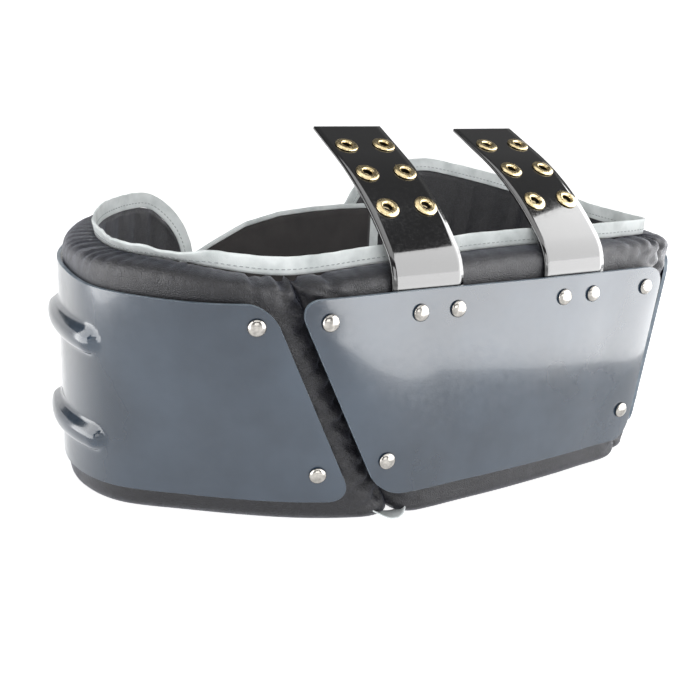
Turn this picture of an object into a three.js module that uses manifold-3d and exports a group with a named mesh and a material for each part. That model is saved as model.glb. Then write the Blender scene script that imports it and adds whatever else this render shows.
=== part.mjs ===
// Rib protector: a padded belt in the shape of a C, standing on its bottom rim.
// Millimetres, +Z up. The strap panel faces -Y, the front opening lies at +Y,
// and the wearer's torso goes down through the middle.

import * as THREE from 'three';
import { mergeVertices } from 'three/addons/utils/BufferGeometryUtils.js';
import Module from 'manifold-3d';

const wasm = await Module();
wasm.setup();

// Driving sizes of the belt
const HALF_WIDTH = 222;
const HALF_DEPTH = 146;
const PANEL_HEIGHT = 168;
const PAD_THICKNESS = 22;
const TAB_THICKNESS = 13;
const TAB_TAPER = 110;
const SEAM_THICKNESS = 12;
const PINCH_LENGTH = 20;
const TOP_ROUND = 15;
const FOOT_ROUND = 7;
const TAB_CORNER = 46;
const GATHER_DEPTH = 1.6;
const GATHER_PITCH = 26;
const SEAM_LIFT = 4;
const CLEARANCE = 0.3;

// Edge binding, a woven tape folded over the edge
const TAPE_WIDTH = 11;
const TAPE_THICKNESS = 1.6;
const FOOT_TAPE_LIFT = 1;

// Front flap, a thin closing piece that bridges the opening inside the two front ends
const FLAP_THICKNESS = 4;
const FLAP_HEIGHT = PANEL_HEIGHT - 18;
const FLAP_LIFT = 16;
const FLAP_PLAY = 0.8;
const FLAP_LEFT_OVERLAP = 48;
const FLAP_RIGHT_OVERLAP = 14;
const FLAP_TAPE_WIDTH = 4;
const FLAP_END_WIDTH = 11;

// Moulded plates
const PLATE_THICKNESS = 2.5;
const PLATE_CORNER = 15;
const STRAP_PLATE_FOOT = 21;
const STRAP_PLATE_TOP = PANEL_HEIGHT - 16;
const STRAP_PLATE_OVERLAP = 5;
const STRAP_PLATE_LENGTH = 252;
const SIDE_PLATE_FOOT = 17;
const SIDE_PLATE_TOP = PANEL_HEIGHT - 18;
const SIDE_PLATE_MARGIN = 21;
const SIDE_PLATE_LENGTH = 262;
const SIDE_PLATE_STAND_OFF = 1.2;
const RIB_HEIGHT = 17;
const RIB_PROUD = 7;
const RIB_LENGTH = 92;
const RIB_INSET = 130;
const RIB_FIRST = PANEL_HEIGHT * 0.286;
const RIB_SPACING = PANEL_HEIGHT * 0.393;

// Rivets
const RIVET_HEAD = 11;
const RIVET_RISE = 3;
const RIVET_SHANK = 4;
const RIVET_INSET = 14;
const STRAP_PLATE_RIVET_FOOT = 24;
const SIDE_PLATE_RIVET_FOOT = 20;

// Straps and their grommets
const STRAP_WIDTH = 51;
const STRAP_THICKNESS = 2;
const STRAP_PLAY = 1.1;
const STRAP_FIRST = 77;
const STRAP_TUCK = 26;
const STRAP_BEND = 25;
const STRAP_CURVE = 84;
const STRAP_END = 36;
const STRAP_SPACING = 98;
const STRAP_RIVET_SPACING = 23.5;
const STRAP_RIVET_SHIFT = 1.5;
const STRAP_RIVET_DROP = 14;
const GROMMET_OUTER = 15.5;
const GROMMET_BARREL = 9.5;
const GROMMET_BORE = 6.5;
const GROMMET_FLANGE = 1.3;
const GROMMET_PLAY = 0.5;
const GROMMET_ROW_PITCH = 32;
const GROMMET_COLUMN_PITCH = 28;
const GROMMET_SHIFT = 1.5;
const GROMMET_END_MARGIN = 25;
const GROMMET_ROWS = 3;

// Sections of the loop, from the left front end round the back to the right front end.
// X and Y are shares of the half width and half depth, once at the foot and once at the
// rim. High is the rim's height as a share of the panel height. Lean is how far the
// binding tips outwards, in degrees.
const SECTIONS = [
  { place: 'leftEnd', footX: -0.36, footY: 0.97, rimX: -0.36, rimY: 0.98, high: 0.98, lean: 0 },
  { place: 'leftTab', footX: -0.49, footY: 0.94, rimX: -0.5, rimY: 0.94, high: 0.985, lean: 0 },
  { place: 'leftFold', footX: -0.63, footY: 0.86, rimX: -0.64, rimY: 0.84, high: 0.99, lean: 0 },
  { place: 'leftCorner', footX: -0.77, footY: 0.69, rimX: -0.775, rimY: 0.67, high: 0.985, lean: 0 },
  { place: 'leftFront', footX: -0.87, footY: 0.46, rimX: -0.88, rimY: 0.42, high: 0.98, lean: 5 },
  { place: 'leftMiddle', footX: -0.925, footY: 0.18, rimX: -0.935, rimY: 0.14, high: 0.985, lean: 20 },
  { place: 'leftRear', footX: -0.89, footY: -0.08, rimX: -0.95, rimY: -0.2, high: 1, lean: 45 },
  { place: 'leftTurn', footX: -0.74, footY: -0.33, rimX: -0.86, rimY: -0.48, high: 1, lean: 50 },
  { place: 'leftBack', footX: -0.47, footY: -0.68, rimX: -0.765, rimY: -0.62, high: 0.985, lean: 22 },
  { place: 'leftSeam', footX: -0.24, footY: -0.85, rimX: -0.57, rimY: -0.745, high: 0.955, lean: 0 },
  { place: 'strapLeft', footX: 0.03, footY: -0.905, rimX: -0.24, rimY: -0.815, high: 0.975, lean: 0 },
  { place: 'strapMiddle', footX: 0.25, footY: -0.93, rimX: 0.14, rimY: -0.9, high: 1, lean: 0 },
  { place: 'strapRight', footX: 0.49, footY: -0.94, rimX: 0.45, rimY: -0.96, high: 1, lean: 0 },
  { place: 'rightSeam', footX: 0.71, footY: -0.92, rimX: 0.785, rimY: -0.97, high: 1, lean: 0 },
  { place: 'rightBack', footX: 0.86, footY: -0.73, rimX: 0.92, rimY: -0.77, high: 0.985, lean: 0 },
  { place: 'rightRear', footX: 0.93, footY: -0.45, rimX: 0.97, rimY: -0.45, high: 0.98, lean: 0 },
  { place: 'rightMiddle', footX: 0.95, footY: -0.07, rimX: 1, rimY: -0.07, high: 0.995, lean: 0 },
  { place: 'rightFront', footX: 0.95, footY: 0.34, rimX: 1, rimY: 0.34, high: 1.02, lean: 0 },
  { place: 'rightCorner', footX: 0.9, footY: 0.68, rimX: 0.93, rimY: 0.72, high: 1.05, lean: 0 },
  { place: 'rightFold', footX: 0.79, footY: 0.89, rimX: 0.81, rimY: 0.94, high: 1.07, lean: 0 },
  { place: 'rightTab', footX: 0.6, footY: 0.985, rimX: 0.61, rimY: 1.03, high: 1.05, lean: 0 },
  { place: 'rightEnd', footX: 0.38, footY: 0.99, rimX: 0.41, rimY: 1.03, high: 1.03, lean: 0 },
];

// The stretches of a strap from its lower end: how long each is, how far it turns back
// over the opening, in degrees, and in how many steps
const STRAP_STRETCHES = [
  { length: STRAP_TUCK, turn: 0, steps: 1 },
  { length: STRAP_BEND, turn: 45, steps: 6 },
  { length: STRAP_CURVE, turn: 22, steps: 9 },
  { length: STRAP_END, turn: 0, steps: 1 },
];

// Heights of the front flap along it, from its left end, as shares of the flap's height
const FLAP_HEIGHTS = [0.7, 0.76, 0.86, 0.95, 0.99, 1, 1, 0.99];

const COLOURS = {
  nylon: { color: 0x1b1c20, roughness: 0.75, metalness: 0 },
  lining: { color: 0x262424, roughness: 0.85, metalness: 0 },
  tape: { color: 0xd3d8d6, roughness: 0.9, metalness: 0 },
  plate: { color: 0x46525c, roughness: 0.15, metalness: 0 },
  strap: { color: 0x08090b, roughness: 0.12, metalness: 0 },
  nickel: { color: 0xc9c5bd, roughness: 0.2, metalness: 1 },
  brass: { color: 0xcaa35a, roughness: 0.25, metalness: 1 },
};

const group = new THREE.Group();

function addPiece(name, geometry, finish) {
  const mesh = new THREE.Mesh(geometry, new THREE.MeshStandardMaterial(COLOURS[finish]));
  mesh.name = name;
  group.add(mesh);
  return mesh;
}

// The loop as two smooth lines, one at the foot and one at the rim

const footLine = new THREE.CatmullRomCurve3(
  SECTIONS.map((s) => new THREE.Vector3(s.footX * HALF_WIDTH, s.footY * HALF_DEPTH, 0)),
);
const rimLine = new THREE.CatmullRomCurve3(
  SECTIONS.map((s) => new THREE.Vector3(s.rimX * HALF_WIDTH, s.rimY * HALF_DEPTH, s.high * PANEL_HEIGHT)),
);
const leanLine = new THREE.CatmullRomCurve3(
  SECTIONS.map((s, index) => new THREE.Vector3(index, s.lean, 0)),
);

// A point on the outer face: station 0 to 1 along the loop, height z, and how far outwards
function skin(station, z, out = 0) {
  const foot = footLine.getPoint(station);
  const rim = rimLine.getPoint(station);
  const share = z / rim.z;
  const point = foot.clone().lerp(rim, share);
  const normal = outward(station, share);
  return new THREE.Vector3(point.x + normal.x * out, point.y + normal.y * out, z);
}

// The direction that points away from the wearer, level, at a station
function outward(station, share) {
  const step = 0.002;
  const before = Math.max(0, station - step);
  const after = Math.min(1, station + step);
  const footRun = footLine.getPoint(after).sub(footLine.getPoint(before));
  const rimRun = rimLine.getPoint(after).sub(rimLine.getPoint(before));
  const run = footRun.lerp(rimRun, share);
  return new THREE.Vector3(run.y, -run.x, 0).normalize();
}

// Distances along the loop at half height, so that lengths can be given in millimetres
const LOOP_STEPS = 600;
const loopDistances = [0];
for (let i = 1; i <= LOOP_STEPS; i += 1) {
  const here = skin(i / LOOP_STEPS, PANEL_HEIGHT / 2);
  const last = skin((i - 1) / LOOP_STEPS, PANEL_HEIGHT / 2);
  loopDistances.push(loopDistances[i - 1] + here.distanceTo(last));
}
const LOOP_LENGTH = loopDistances[LOOP_STEPS];

function distanceAt(station) {
  const place = THREE.MathUtils.clamp(station, 0, 1) * LOOP_STEPS;
  const index = Math.min(Math.floor(place), LOOP_STEPS - 1);
  return THREE.MathUtils.lerp(loopDistances[index], loopDistances[index + 1], place - index);
}

function stationAt(distance) {
  let index = 0;
  while (index < LOOP_STEPS - 1 && loopDistances[index + 1] < distance) {
    index += 1;
  }
  const span = loopDistances[index + 1] - loopDistances[index];
  return (index + (distance - loopDistances[index]) / span) / LOOP_STEPS;
}

function placeDistance(place) {
  const index = SECTIONS.findIndex((s) => s.place === place);
  return distanceAt(index / (SECTIONS.length - 1));
}

// The rim's height, which rounds down at the two front ends
function rimHeight(distance) {
  const height = rimLine.getPoint(stationAt(distance)).z;
  const fromEnd = Math.max(0, Math.min(distance, LOOP_LENGTH - distance));
  if (fromEnd >= TAB_CORNER) {
    return height;
  }
  const rise = Math.sqrt(TAB_CORNER ** 2 - (TAB_CORNER - fromEnd) ** 2);
  return height - (TAB_CORNER - rise);
}

// A closed body from rings with equal numbers of points, capped at both ends. Every ring
// is the same outline, so one set of cap faces fits both.
function loft(rings, capFaces) {
  const count = rings[0].length;
  const positions = rings.flat().flatMap((p) => [p.x, p.y, p.z]);
  const faces = [];
  for (let i = 0; i < rings.length - 1; i += 1) {
    const here = i * count;
    const next = here + count;
    for (let j = 0; j < count; j += 1) {
      const k = (j + 1) % count;
      faces.push(here + j, here + k, next + k, here + j, next + k, next + j);
    }
  }
  const end = (rings.length - 1) * count;
  for (const [a, b, c] of capFaces) {
    faces.push(c, b, a, end + a, end + b, end + c);
  }
  return facingOut(positions, faces);
}

// The same mesh with its faces turned outwards
function facingOut(positions, faces) {
  let volume = 0;
  const corner = (index) => new THREE.Vector3().fromArray(positions, index * 3);
  for (let i = 0; i < faces.length; i += 3) {
    volume += corner(faces[i]).dot(corner(faces[i + 1]).cross(corner(faces[i + 2])));
  }
  const turned = volume > 0 ? faces : [...faces].reverse();
  const geometry = new THREE.BufferGeometry();
  geometry.setAttribute('position', new THREE.Float32BufferAttribute(positions, 3));
  geometry.setIndex(turned);
  return geometry;
}

function capFacesOf(outline) {
  return THREE.ShapeUtils.triangulateShape(outline.map(([x, y]) => new THREE.Vector2(x, y)), []);
}

// Solids for cutting holes

function toSolid(geometry) {
  const bare = geometry.clone();
  bare.deleteAttribute('normal');
  bare.deleteAttribute('uv');
  const merged = mergeVertices(bare, 1e-4);
  return new wasm.Manifold(new wasm.Mesh({
    numProp: 3,
    vertProperties: new Float32Array(merged.attributes.position.array),
    triVerts: new Uint32Array(merged.index.array),
  }));
}

function toGeometry(solid) {
  const mesh = solid.getMesh();
  const geometry = new THREE.BufferGeometry();
  geometry.setAttribute('position', new THREE.BufferAttribute(new Float32Array(mesh.vertProperties), 3));
  geometry.setIndex(new THREE.BufferAttribute(new Uint32Array(mesh.triVerts), 1));
  return geometry;
}

const ROUND_SIDES = 8;

function cutHoles(geometry, frames, radius, depth) {
  let solid = toSolid(geometry);
  for (const frame of frames) {
    const drill = new THREE.CylinderGeometry(radius, radius, depth, ROUND_SIDES);
    drill.rotateX(Math.PI / 2);
    drill.applyMatrix4(frame);
    solid = solid.subtract(toSolid(drill));
  }
  return toGeometry(solid);
}

// Pads: foam in nylon, round at the top outside, flat inside, and pinched at the seams

// The pad's outline across the belt as pairs of out and z, running up the outer face, over
// the top to the inner edge, down the inner face and back under the foot
const OUTER_ROWS = 12;
const ROUND_ROWS = 4;
const INNER_FACE = -PAD_THICKNESS;

function padOutline(height, thickness, gather, lift) {
  const outline = [];
  const face = INNER_FACE + thickness;
  for (let row = 0; row <= OUTER_ROWS; row += 1) {
    const z = THREE.MathUtils.lerp(lift + FOOT_ROUND, height - TOP_ROUND, row / OUTER_ROWS);
    const pucker = GATHER_DEPTH * gather * (1 - Math.cos((2 * Math.PI * z) / GATHER_PITCH));
    outline.push([face - pucker, z]);
  }
  for (let row = 1; row <= ROUND_ROWS; row += 1) {
    const turn = (row / ROUND_ROWS) * (Math.PI / 2);
    const out = INNER_FACE + thickness * Math.cos(turn);
    outline.push([out, height - TOP_ROUND + TOP_ROUND * Math.sin(turn)]);
  }
  outline.push([INNER_FACE, height / 2]);
  outline.push([INNER_FACE, FOOT_TAPE_LIFT + TAPE_WIDTH]);
  outline.push([INNER_FACE, lift]);
  outline.push([face - Math.min(FOOT_ROUND, thickness / 2), lift]);
  return outline;
}

// How full the pad is at a distance from its seamed end: 0 at the seam, 1 past the pinch
function fullness(fromSeam) {
  const share = THREE.MathUtils.clamp(fromSeam / PINCH_LENGTH, 0, 1);
  return Math.sqrt(1 - (1 - share) ** 2);
}

// Rings lie close together where a panel pinches in at a seam and round a front corner
const PINCH_SHARES = [0, 0.12, 0.35, 0.65, 1];
const CORNER_STEPS = 5;
const CORNER_INSETS = roundInsets(TAB_CORNER, CORNER_STEPS);

// How far in from a round corner's start its steps lie, evenly spaced by angle
function roundInsets(radius, steps) {
  const insets = [];
  for (let i = 0; i <= steps; i += 1) {
    insets.push(radius * (1 - Math.cos((i / steps) * (Math.PI / 2))));
  }
  return insets;
}

function ringDistances({ start, end, middleRings }) {
  const seamSteps = PINCH_SHARES.map((share) => share * PINCH_LENGTH);
  const first = (start < TAB_CORNER ? CORNER_INSETS : seamSteps).map((inset) => start + inset);
  const last = (end > LOOP_LENGTH - TAB_CORNER ? CORNER_INSETS : seamSteps).map((inset) => end - inset);
  const from = first[first.length - 1];
  const to = last[last.length - 1];
  const middle = [];
  for (let i = 1; i < middleRings; i += 1) {
    middle.push(THREE.MathUtils.lerp(from, to, i / middleRings));
  }
  return [...first, ...middle, ...last.reverse()];
}

// The foam's thickness, which tapers towards the two front ends
function foamThickness(distance) {
  const fromEnd = Math.min(distance, LOOP_LENGTH - distance);
  return THREE.MathUtils.lerp(TAB_THICKNESS, PAD_THICKNESS, THREE.MathUtils.smoothstep(fromEnd, 0, TAB_TAPER));
}

function makePad(panel) {
  const rings = [];
  let outline = [];
  for (const distance of ringDistances(panel)) {
    const full = fullness(Math.min(distance - panel.start, panel.end - distance));
    const plump = THREE.MathUtils.lerp(SEAM_THICKNESS, foamThickness(distance), full);
    const nearSeam = Math.min(distance, LOOP_LENGTH - distance) > TAB_TAPER;
    const gather = nearSeam ? 1 - full : 0;
    outline = padOutline(rimHeight(distance), plump, gather, SEAM_LIFT * (1 - full));
    const station = stationAt(distance);
    rings.push(outline.map(([out, z]) => skin(station, z, out)));
  }
  return loft(rings, capFacesOf(outline));
}

const leftSeam = placeDistance('leftSeam');
const rightSeam = placeDistance('rightSeam');

const PANELS = {
  left_side_pad: { start: 0, end: leftSeam - CLEARANCE / 2, middleRings: 12 },
  strap_panel_pad: { start: leftSeam + CLEARANCE / 2, end: rightSeam - CLEARANCE / 2, middleRings: 7 },
  right_side_pad: { start: rightSeam + CLEARANCE / 2, end: LOOP_LENGTH, middleRings: 12 },
};

for (const [name, panel] of Object.entries(PANELS)) {
  addPiece(name, makePad(panel), 'nylon');
}

// Edge binding: a tape that stands on the inner top edge all round, and turns down both
// front ends

const SQUARE_CAP = [[0, 1, 2], [0, 2, 3]];

// One ring of a tape: its root, the way it stands up from there, and the way of its thickness
function tapeRing(root, rise, side, width, thickness) {
  const base = root.clone().addScaledVector(rise, CLEARANCE);
  const tip = base.clone().addScaledVector(rise, width);
  return [
    base,
    tip,
    tip.clone().addScaledVector(side, thickness),
    base.clone().addScaledVector(side, thickness),
  ];
}

const UP = new THREE.Vector3(0, 0, 1);

// The binding at a distance along the rim. Round a front corner it turns with the edge,
// until it stands out level from the end.
function rimTapeRing(distance) {
  const station = stationAt(distance);
  const normal = outward(station, 1);
  const lean = THREE.MathUtils.degToRad(leanLine.getPoint(station).y);
  const fromEnd = Math.min(distance, LOOP_LENGTH - distance);
  const turnShare = THREE.MathUtils.clamp((TAB_CORNER - fromEnd) / TAB_CORNER, 0, 1);
  const turn = Math.asin(turnShare);
  const endward = new THREE.Vector3().crossVectors(UP, normal);
  if (distance < LOOP_LENGTH / 2) {
    endward.negate();
  }
  const upright = UP.clone().multiplyScalar(Math.cos(turn)).addScaledVector(endward, Math.sin(turn));
  const rise = upright.clone().multiplyScalar(Math.cos(lean)).addScaledVector(normal, Math.sin(lean));
  const side = upright.multiplyScalar(-Math.sin(lean)).addScaledVector(normal, Math.cos(lean));
  const root = skin(station, rimHeight(distance), INNER_FACE);
  root.z += TAPE_THICKNESS * Math.sin(lean);
  return tapeRing(root, rise, side, TAPE_WIDTH, TAPE_THICKNESS);
}

// The binding on a front end, below the round corner
function endTapeRing(distance, z) {
  const ring = rimTapeRing(distance);
  const drop = z - rimHeight(distance);
  const top = skin(stationAt(distance), rimHeight(distance), INNER_FACE);
  const here = skin(stationAt(distance), z, INNER_FACE);
  const shift = here.sub(top).setZ(drop);
  return ring.map((point) => point.add(shift));
}

// The bindings take the same rings as the panels, so that they lie along them
const TAPE_DISTANCES = Object.values(PANELS).flatMap(ringDistances);

function edgeBinding() {
  const rings = TAPE_DISTANCES.map(rimTapeRing);
  rings.unshift(endTapeRing(0, FOOT_TAPE_LIFT));
  rings.push(endTapeRing(LOOP_LENGTH, FOOT_TAPE_LIFT));
  return loft(rings, SQUARE_CAP);
}

// Foot binding: the same tape along the inner foot, flat against the lining
function footBinding() {
  const lining = INNER_FACE - CLEARANCE;
  const top = FOOT_TAPE_LIFT + TAPE_WIDTH;
  const rings = TAPE_DISTANCES.map(stationAt).map((station) => [
    skin(station, FOOT_TAPE_LIFT, lining),
    skin(station, top, lining),
    skin(station, top, lining - TAPE_THICKNESS),
    skin(station, FOOT_TAPE_LIFT, lining - TAPE_THICKNESS),
  ]);
  return loft(rings, SQUARE_CAP);
}

addPiece('edge_binding', edgeBinding(), 'tape');
addPiece('foot_binding', footBinding(), 'tape');

// Front flap: a thin closing piece that lies inside both front ends, with its own binding

const FLAP_STEPS = 3;

// Stations along the flap: inside the left end, then inside the right end
function overlapStations(overlap) {
  const stations = [];
  for (let i = 0; i <= FLAP_STEPS; i += 1) {
    stations.push(stationAt((overlap * i) / FLAP_STEPS));
  }
  return stations;
}

const leftOverlap = overlapStations(FLAP_LEFT_OVERLAP).reverse();
const rightOverlap = overlapStations(FLAP_RIGHT_OVERLAP).map((station) => 1 - station);

// The flap's line at a height, as a smooth curve from inside the left end to the right
function flapLine(z) {
  const back = INNER_FACE - FLAP_PLAY - FLAP_THICKNESS;
  const stations = [...leftOverlap, ...rightOverlap];
  return new THREE.CatmullRomCurve3(stations.map((station) => skin(station, z, back)));
}

function flapHeight(share) {
  const place = share * (FLAP_HEIGHTS.length - 1);
  const index = Math.min(Math.floor(place), FLAP_HEIGHTS.length - 2);
  return FLAP_HEIGHT * THREE.MathUtils.lerp(FLAP_HEIGHTS[index], FLAP_HEIGHTS[index + 1], place - index);
}

// A point of the flap, and the level directions along it and out of it
function flapFrame(share, z) {
  const line = flapLine(z);
  const run = line.getTangentAt(share).setZ(0).normalize();
  return { point: line.getPointAt(share), run, side: new THREE.Vector3(-run.y, run.x, 0) };
}

function flapPoint(share, z, out) {
  const { point, side } = flapFrame(share, z);
  return point.addScaledVector(side, out);
}

const FLAP_RINGS = 16;

function makeFlap() {
  const rings = [];
  for (let i = 0; i <= FLAP_RINGS; i += 1) {
    const share = i / FLAP_RINGS;
    const top = flapHeight(share);
    rings.push([
      flapPoint(share, FLAP_LIFT, 0),
      flapPoint(share, top, 0),
      flapPoint(share, top, FLAP_THICKNESS),
      flapPoint(share, FLAP_LIFT, FLAP_THICKNESS),
    ]);
  }
  return loft(rings, SQUARE_CAP);
}

// The flap's binding runs along its top and down its right end, in the middle of its wall
function flapBinding() {
  const middle = (FLAP_THICKNESS - TAPE_THICKNESS) / 2;
  const rings = [];
  for (let i = 0; i <= FLAP_RINGS; i += 1) {
    const share = i / FLAP_RINGS;
    const top = flapHeight(share);
    const { side } = flapFrame(share, top);
    rings.push(tapeRing(flapPoint(share, top, middle), UP, side, FLAP_TAPE_WIDTH, TAPE_THICKNESS));
  }
  const top = flapHeight(1);
  const { run, side } = flapFrame(1, top);
  const corner = run.clone().add(UP).normalize();
  const reach = Math.SQRT2 * FLAP_TAPE_WIDTH;
  rings.push(tapeRing(flapPoint(1, top, middle), corner, side, reach, TAPE_THICKNESS));
  for (const z of [top - FLAP_TAPE_WIDTH, FLAP_LIFT]) {
    rings.push(tapeRing(flapPoint(1, z, middle), run, side, FLAP_END_WIDTH, TAPE_THICKNESS));
  }
  return loft(rings, SQUARE_CAP);
}

addPiece('front_flap', makeFlap(), 'lining');
addPiece('flap_binding', flapBinding(), 'tape');

// A frame on the belt's face: x runs along the belt, y up the face, z outwards
function faceFrame(distance, z, out) {
  const station = stationAt(distance);
  const nudge = 1 / LOOP_STEPS;
  const along = skin(station + nudge, z).sub(skin(station - nudge, z)).normalize();
  const up = skin(station, z + 1).sub(skin(station, z - 1)).normalize();
  const normal = new THREE.Vector3().crossVectors(along, up).normalize();
  const level = new THREE.Vector3(-normal.y, normal.x, 0).normalize();
  const rise = new THREE.Vector3().crossVectors(normal, level);
  const point = skin(station, z, out);
  return new THREE.Matrix4().makeBasis(level, rise, normal).setPosition(point);
}

// Plates: moulded sheets with round corners, on the faces of the three padded panels

// How far a side plate's half-round ribs stand out at a place
function ribRise(fromMiddle, z, ribHeights) {
  const radius = RIB_HEIGHT / 2;
  const pastEnd = Math.max(0, Math.abs(fromMiddle) - (RIB_LENGTH / 2 - radius));
  let rise = 0;
  for (const ribZ of ribHeights) {
    const away = Math.hypot(pastEnd, z - ribZ) / radius;
    rise = Math.max(rise, away < 1 ? RIB_PROUD * Math.sqrt(1 - away ** 2) : 0);
  }
  return rise;
}

// Rows up a plate as shares of its height, with extra rows over each rib
function plateRows(plate) {
  const rows = [0, 1];
  for (const ribZ of plate.ribs) {
    for (const share of [-1, -0.7, 0, 0.7, 1]) {
      rows.push((ribZ + (share * RIB_HEIGHT) / 2 - plate.foot) / plate.height);
    }
  }
  return rows.sort((a, b) => a - b);
}

// Columns along a plate, close together at its round corners and at the ends of its ribs
const PLATE_CORNER_STEPS = 3;
const RIB_END_STEPS = 3;

function plateColumns(plate) {
  const columns = [];
  for (const inset of roundInsets(PLATE_CORNER, PLATE_CORNER_STEPS)) {
    columns.push(plate.start + inset, plate.end - inset);
  }
  if (plate.ribs.length > 0) {
    for (const inset of roundInsets(RIB_HEIGHT / 2, RIB_END_STEPS)) {
      const away = RIB_LENGTH / 2 - inset;
      columns.push(plate.ribMiddle - away, plate.ribMiddle + away);
    }
  }
  for (let i = 1; i < plate.columns; i += 1) {
    columns.push(THREE.MathUtils.lerp(plate.start + PLATE_CORNER, plate.end - PLATE_CORNER, i / plate.columns));
  }
  return columns.sort((a, b) => a - b);
}

// The outer face of the pad under a plate
function padFace(distance) {
  return INNER_FACE + foamThickness(distance);
}

function makePlate(plate) {
  const rows = plateRows(plate);
  const rings = plateColumns(plate).map((distance) => {
    const fromEnd = Math.min(distance - plate.start, plate.end - distance);
    const short = Math.max(0, PLATE_CORNER - fromEnd);
    const cut = PLATE_CORNER - Math.sqrt(PLATE_CORNER ** 2 - short ** 2);
    const station = stationAt(distance);
    const heights = rows.map((row) => THREE.MathUtils.lerp(plate.foot + cut, plate.foot + plate.height - cut, row));
    const face = padFace(distance) + plate.standOff;
    const backs = heights.map((z) => face + ribRise(distance - plate.ribMiddle, z, plate.ribs));
    const inner = heights.map((z, i) => skin(station, z, backs[i]));
    const outer = heights.map((z, i) => skin(station, z, backs[i] + PLATE_THICKNESS));
    return [...outer, ...inner.reverse()];
  });
  const last = rows.length * 2 - 1;
  const cap = [];
  for (let row = 0; row < rows.length - 1; row += 1) {
    cap.push([row, row + 1, last - row], [row + 1, last - row - 1, last - row]);
  }
  return loft(rings, cap);
}

const STRAP_PLATE_STAND_OFF = STRAP_THICKNESS + 2 * STRAP_PLAY;
const RIB_PLACES = [RIB_FIRST, RIB_FIRST + RIB_SPACING];

const PLATES = {
  strap_plate: {
    start: leftSeam - STRAP_PLATE_OVERLAP,
    end: leftSeam - STRAP_PLATE_OVERLAP + STRAP_PLATE_LENGTH,
    foot: STRAP_PLATE_FOOT,
    rivetFoot: STRAP_PLATE_RIVET_FOOT,
    height: STRAP_PLATE_TOP - STRAP_PLATE_FOOT,
    standOff: STRAP_PLATE_STAND_OFF,
    ribs: [],
    ribMiddle: 0,
    columns: 14,
  },
  left_side_plate: {
    start: leftSeam - SIDE_PLATE_MARGIN - SIDE_PLATE_LENGTH,
    end: leftSeam - SIDE_PLATE_MARGIN,
    foot: SIDE_PLATE_FOOT,
    rivetFoot: SIDE_PLATE_RIVET_FOOT,
    height: SIDE_PLATE_TOP - SIDE_PLATE_FOOT,
    standOff: SIDE_PLATE_STAND_OFF,
    ribs: RIB_PLACES,
    ribMiddle: leftSeam - SIDE_PLATE_MARGIN - RIB_INSET - RIB_LENGTH / 2,
    columns: 12,
  },
  right_side_plate: {
    start: rightSeam + SIDE_PLATE_MARGIN,
    end: rightSeam + SIDE_PLATE_MARGIN + SIDE_PLATE_LENGTH,
    foot: SIDE_PLATE_FOOT,
    rivetFoot: SIDE_PLATE_RIVET_FOOT,
    height: SIDE_PLATE_TOP - SIDE_PLATE_FOOT,
    standOff: SIDE_PLATE_STAND_OFF,
    ribs: RIB_PLACES,
    ribMiddle: rightSeam + SIDE_PLATE_MARGIN + RIB_INSET + RIB_LENGTH / 2,
    columns: 12,
  },
};

// Rivets: a domed head over the plate and a shank through it

const HEAD_STEPS = 3;

function rivetGeometry(shankLength) {
  const profile = [];
  for (let i = 0; i <= HEAD_STEPS; i += 1) {
    const turn = (i / HEAD_STEPS) * (Math.PI / 2);
    profile.push(new THREE.Vector2((RIVET_HEAD / 2) * Math.sin(turn), CLEARANCE + RIVET_RISE * Math.cos(turn)));
  }
  profile.push(new THREE.Vector2(RIVET_SHANK / 2, CLEARANCE));
  profile.push(new THREE.Vector2(RIVET_SHANK / 2, -shankLength));
  profile.push(new THREE.Vector2(0, -shankLength));
  const geometry = new THREE.LatheGeometry(profile.reverse(), ROUND_SIDES);
  geometry.rotateX(Math.PI / 2);
  return geometry;
}

function plateFace(plate, distance) {
  return padFace(distance) + plate.standOff + PLATE_THICKNESS;
}

// The frames of a plate's four corner rivets
function cornerRivets(plate) {
  const frames = [];
  for (const distance of [plate.start + RIVET_INSET, plate.end - RIVET_INSET]) {
    for (const z of [plate.foot + plate.rivetFoot, plate.foot + plate.height - RIVET_INSET]) {
      frames.push(faceFrame(distance, z, plateFace(plate, distance)));
    }
  }
  return frames;
}

// Straps: each comes up between pad and plate, then curves back over the opening and ends
// in a flat stretch with three rows of grommets

const STRAPS = [
  { name: 'strap_left', distance: leftSeam + STRAP_FIRST, lean: -1 },
  { name: 'strap_right', distance: leftSeam + STRAP_FIRST + STRAP_SPACING, lean: 1 },
];
const strapPlate = PLATES.strap_plate;
const plateTop = strapPlate.foot + strapPlate.height;
const STRAP_LENGTH = STRAP_STRETCHES.reduce((sum, stretch) => sum + stretch.length, 0);

// The strap's middle line as a frame at a length from its lower end: x across the strap,
// y along it, z out of its outer face. The base frame lies at the plate's top edge, and
// each bend turns by the strap's own lean more, in degrees.
function strapFrame({ base, lean }, length) {
  const frame = base.clone().multiply(new THREE.Matrix4().makeTranslation(0, -STRAP_TUCK, 0));
  let left = length;
  for (const stretch of STRAP_STRETCHES) {
    const run = Math.min(left, stretch.length);
    const turn = stretch.turn > 0 ? stretch.turn + lean : 0;
    const half = THREE.MathUtils.degToRad((turn / 2) * (run / stretch.length));
    const chord = half > 0 ? (run * Math.sin(half)) / half : run;
    frame.multiply(new THREE.Matrix4().makeRotationX(-half));
    frame.multiply(new THREE.Matrix4().makeTranslation(0, chord, 0));
    frame.multiply(new THREE.Matrix4().makeRotationX(-half));
    left -= run;
  }
  return frame;
}

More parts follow.
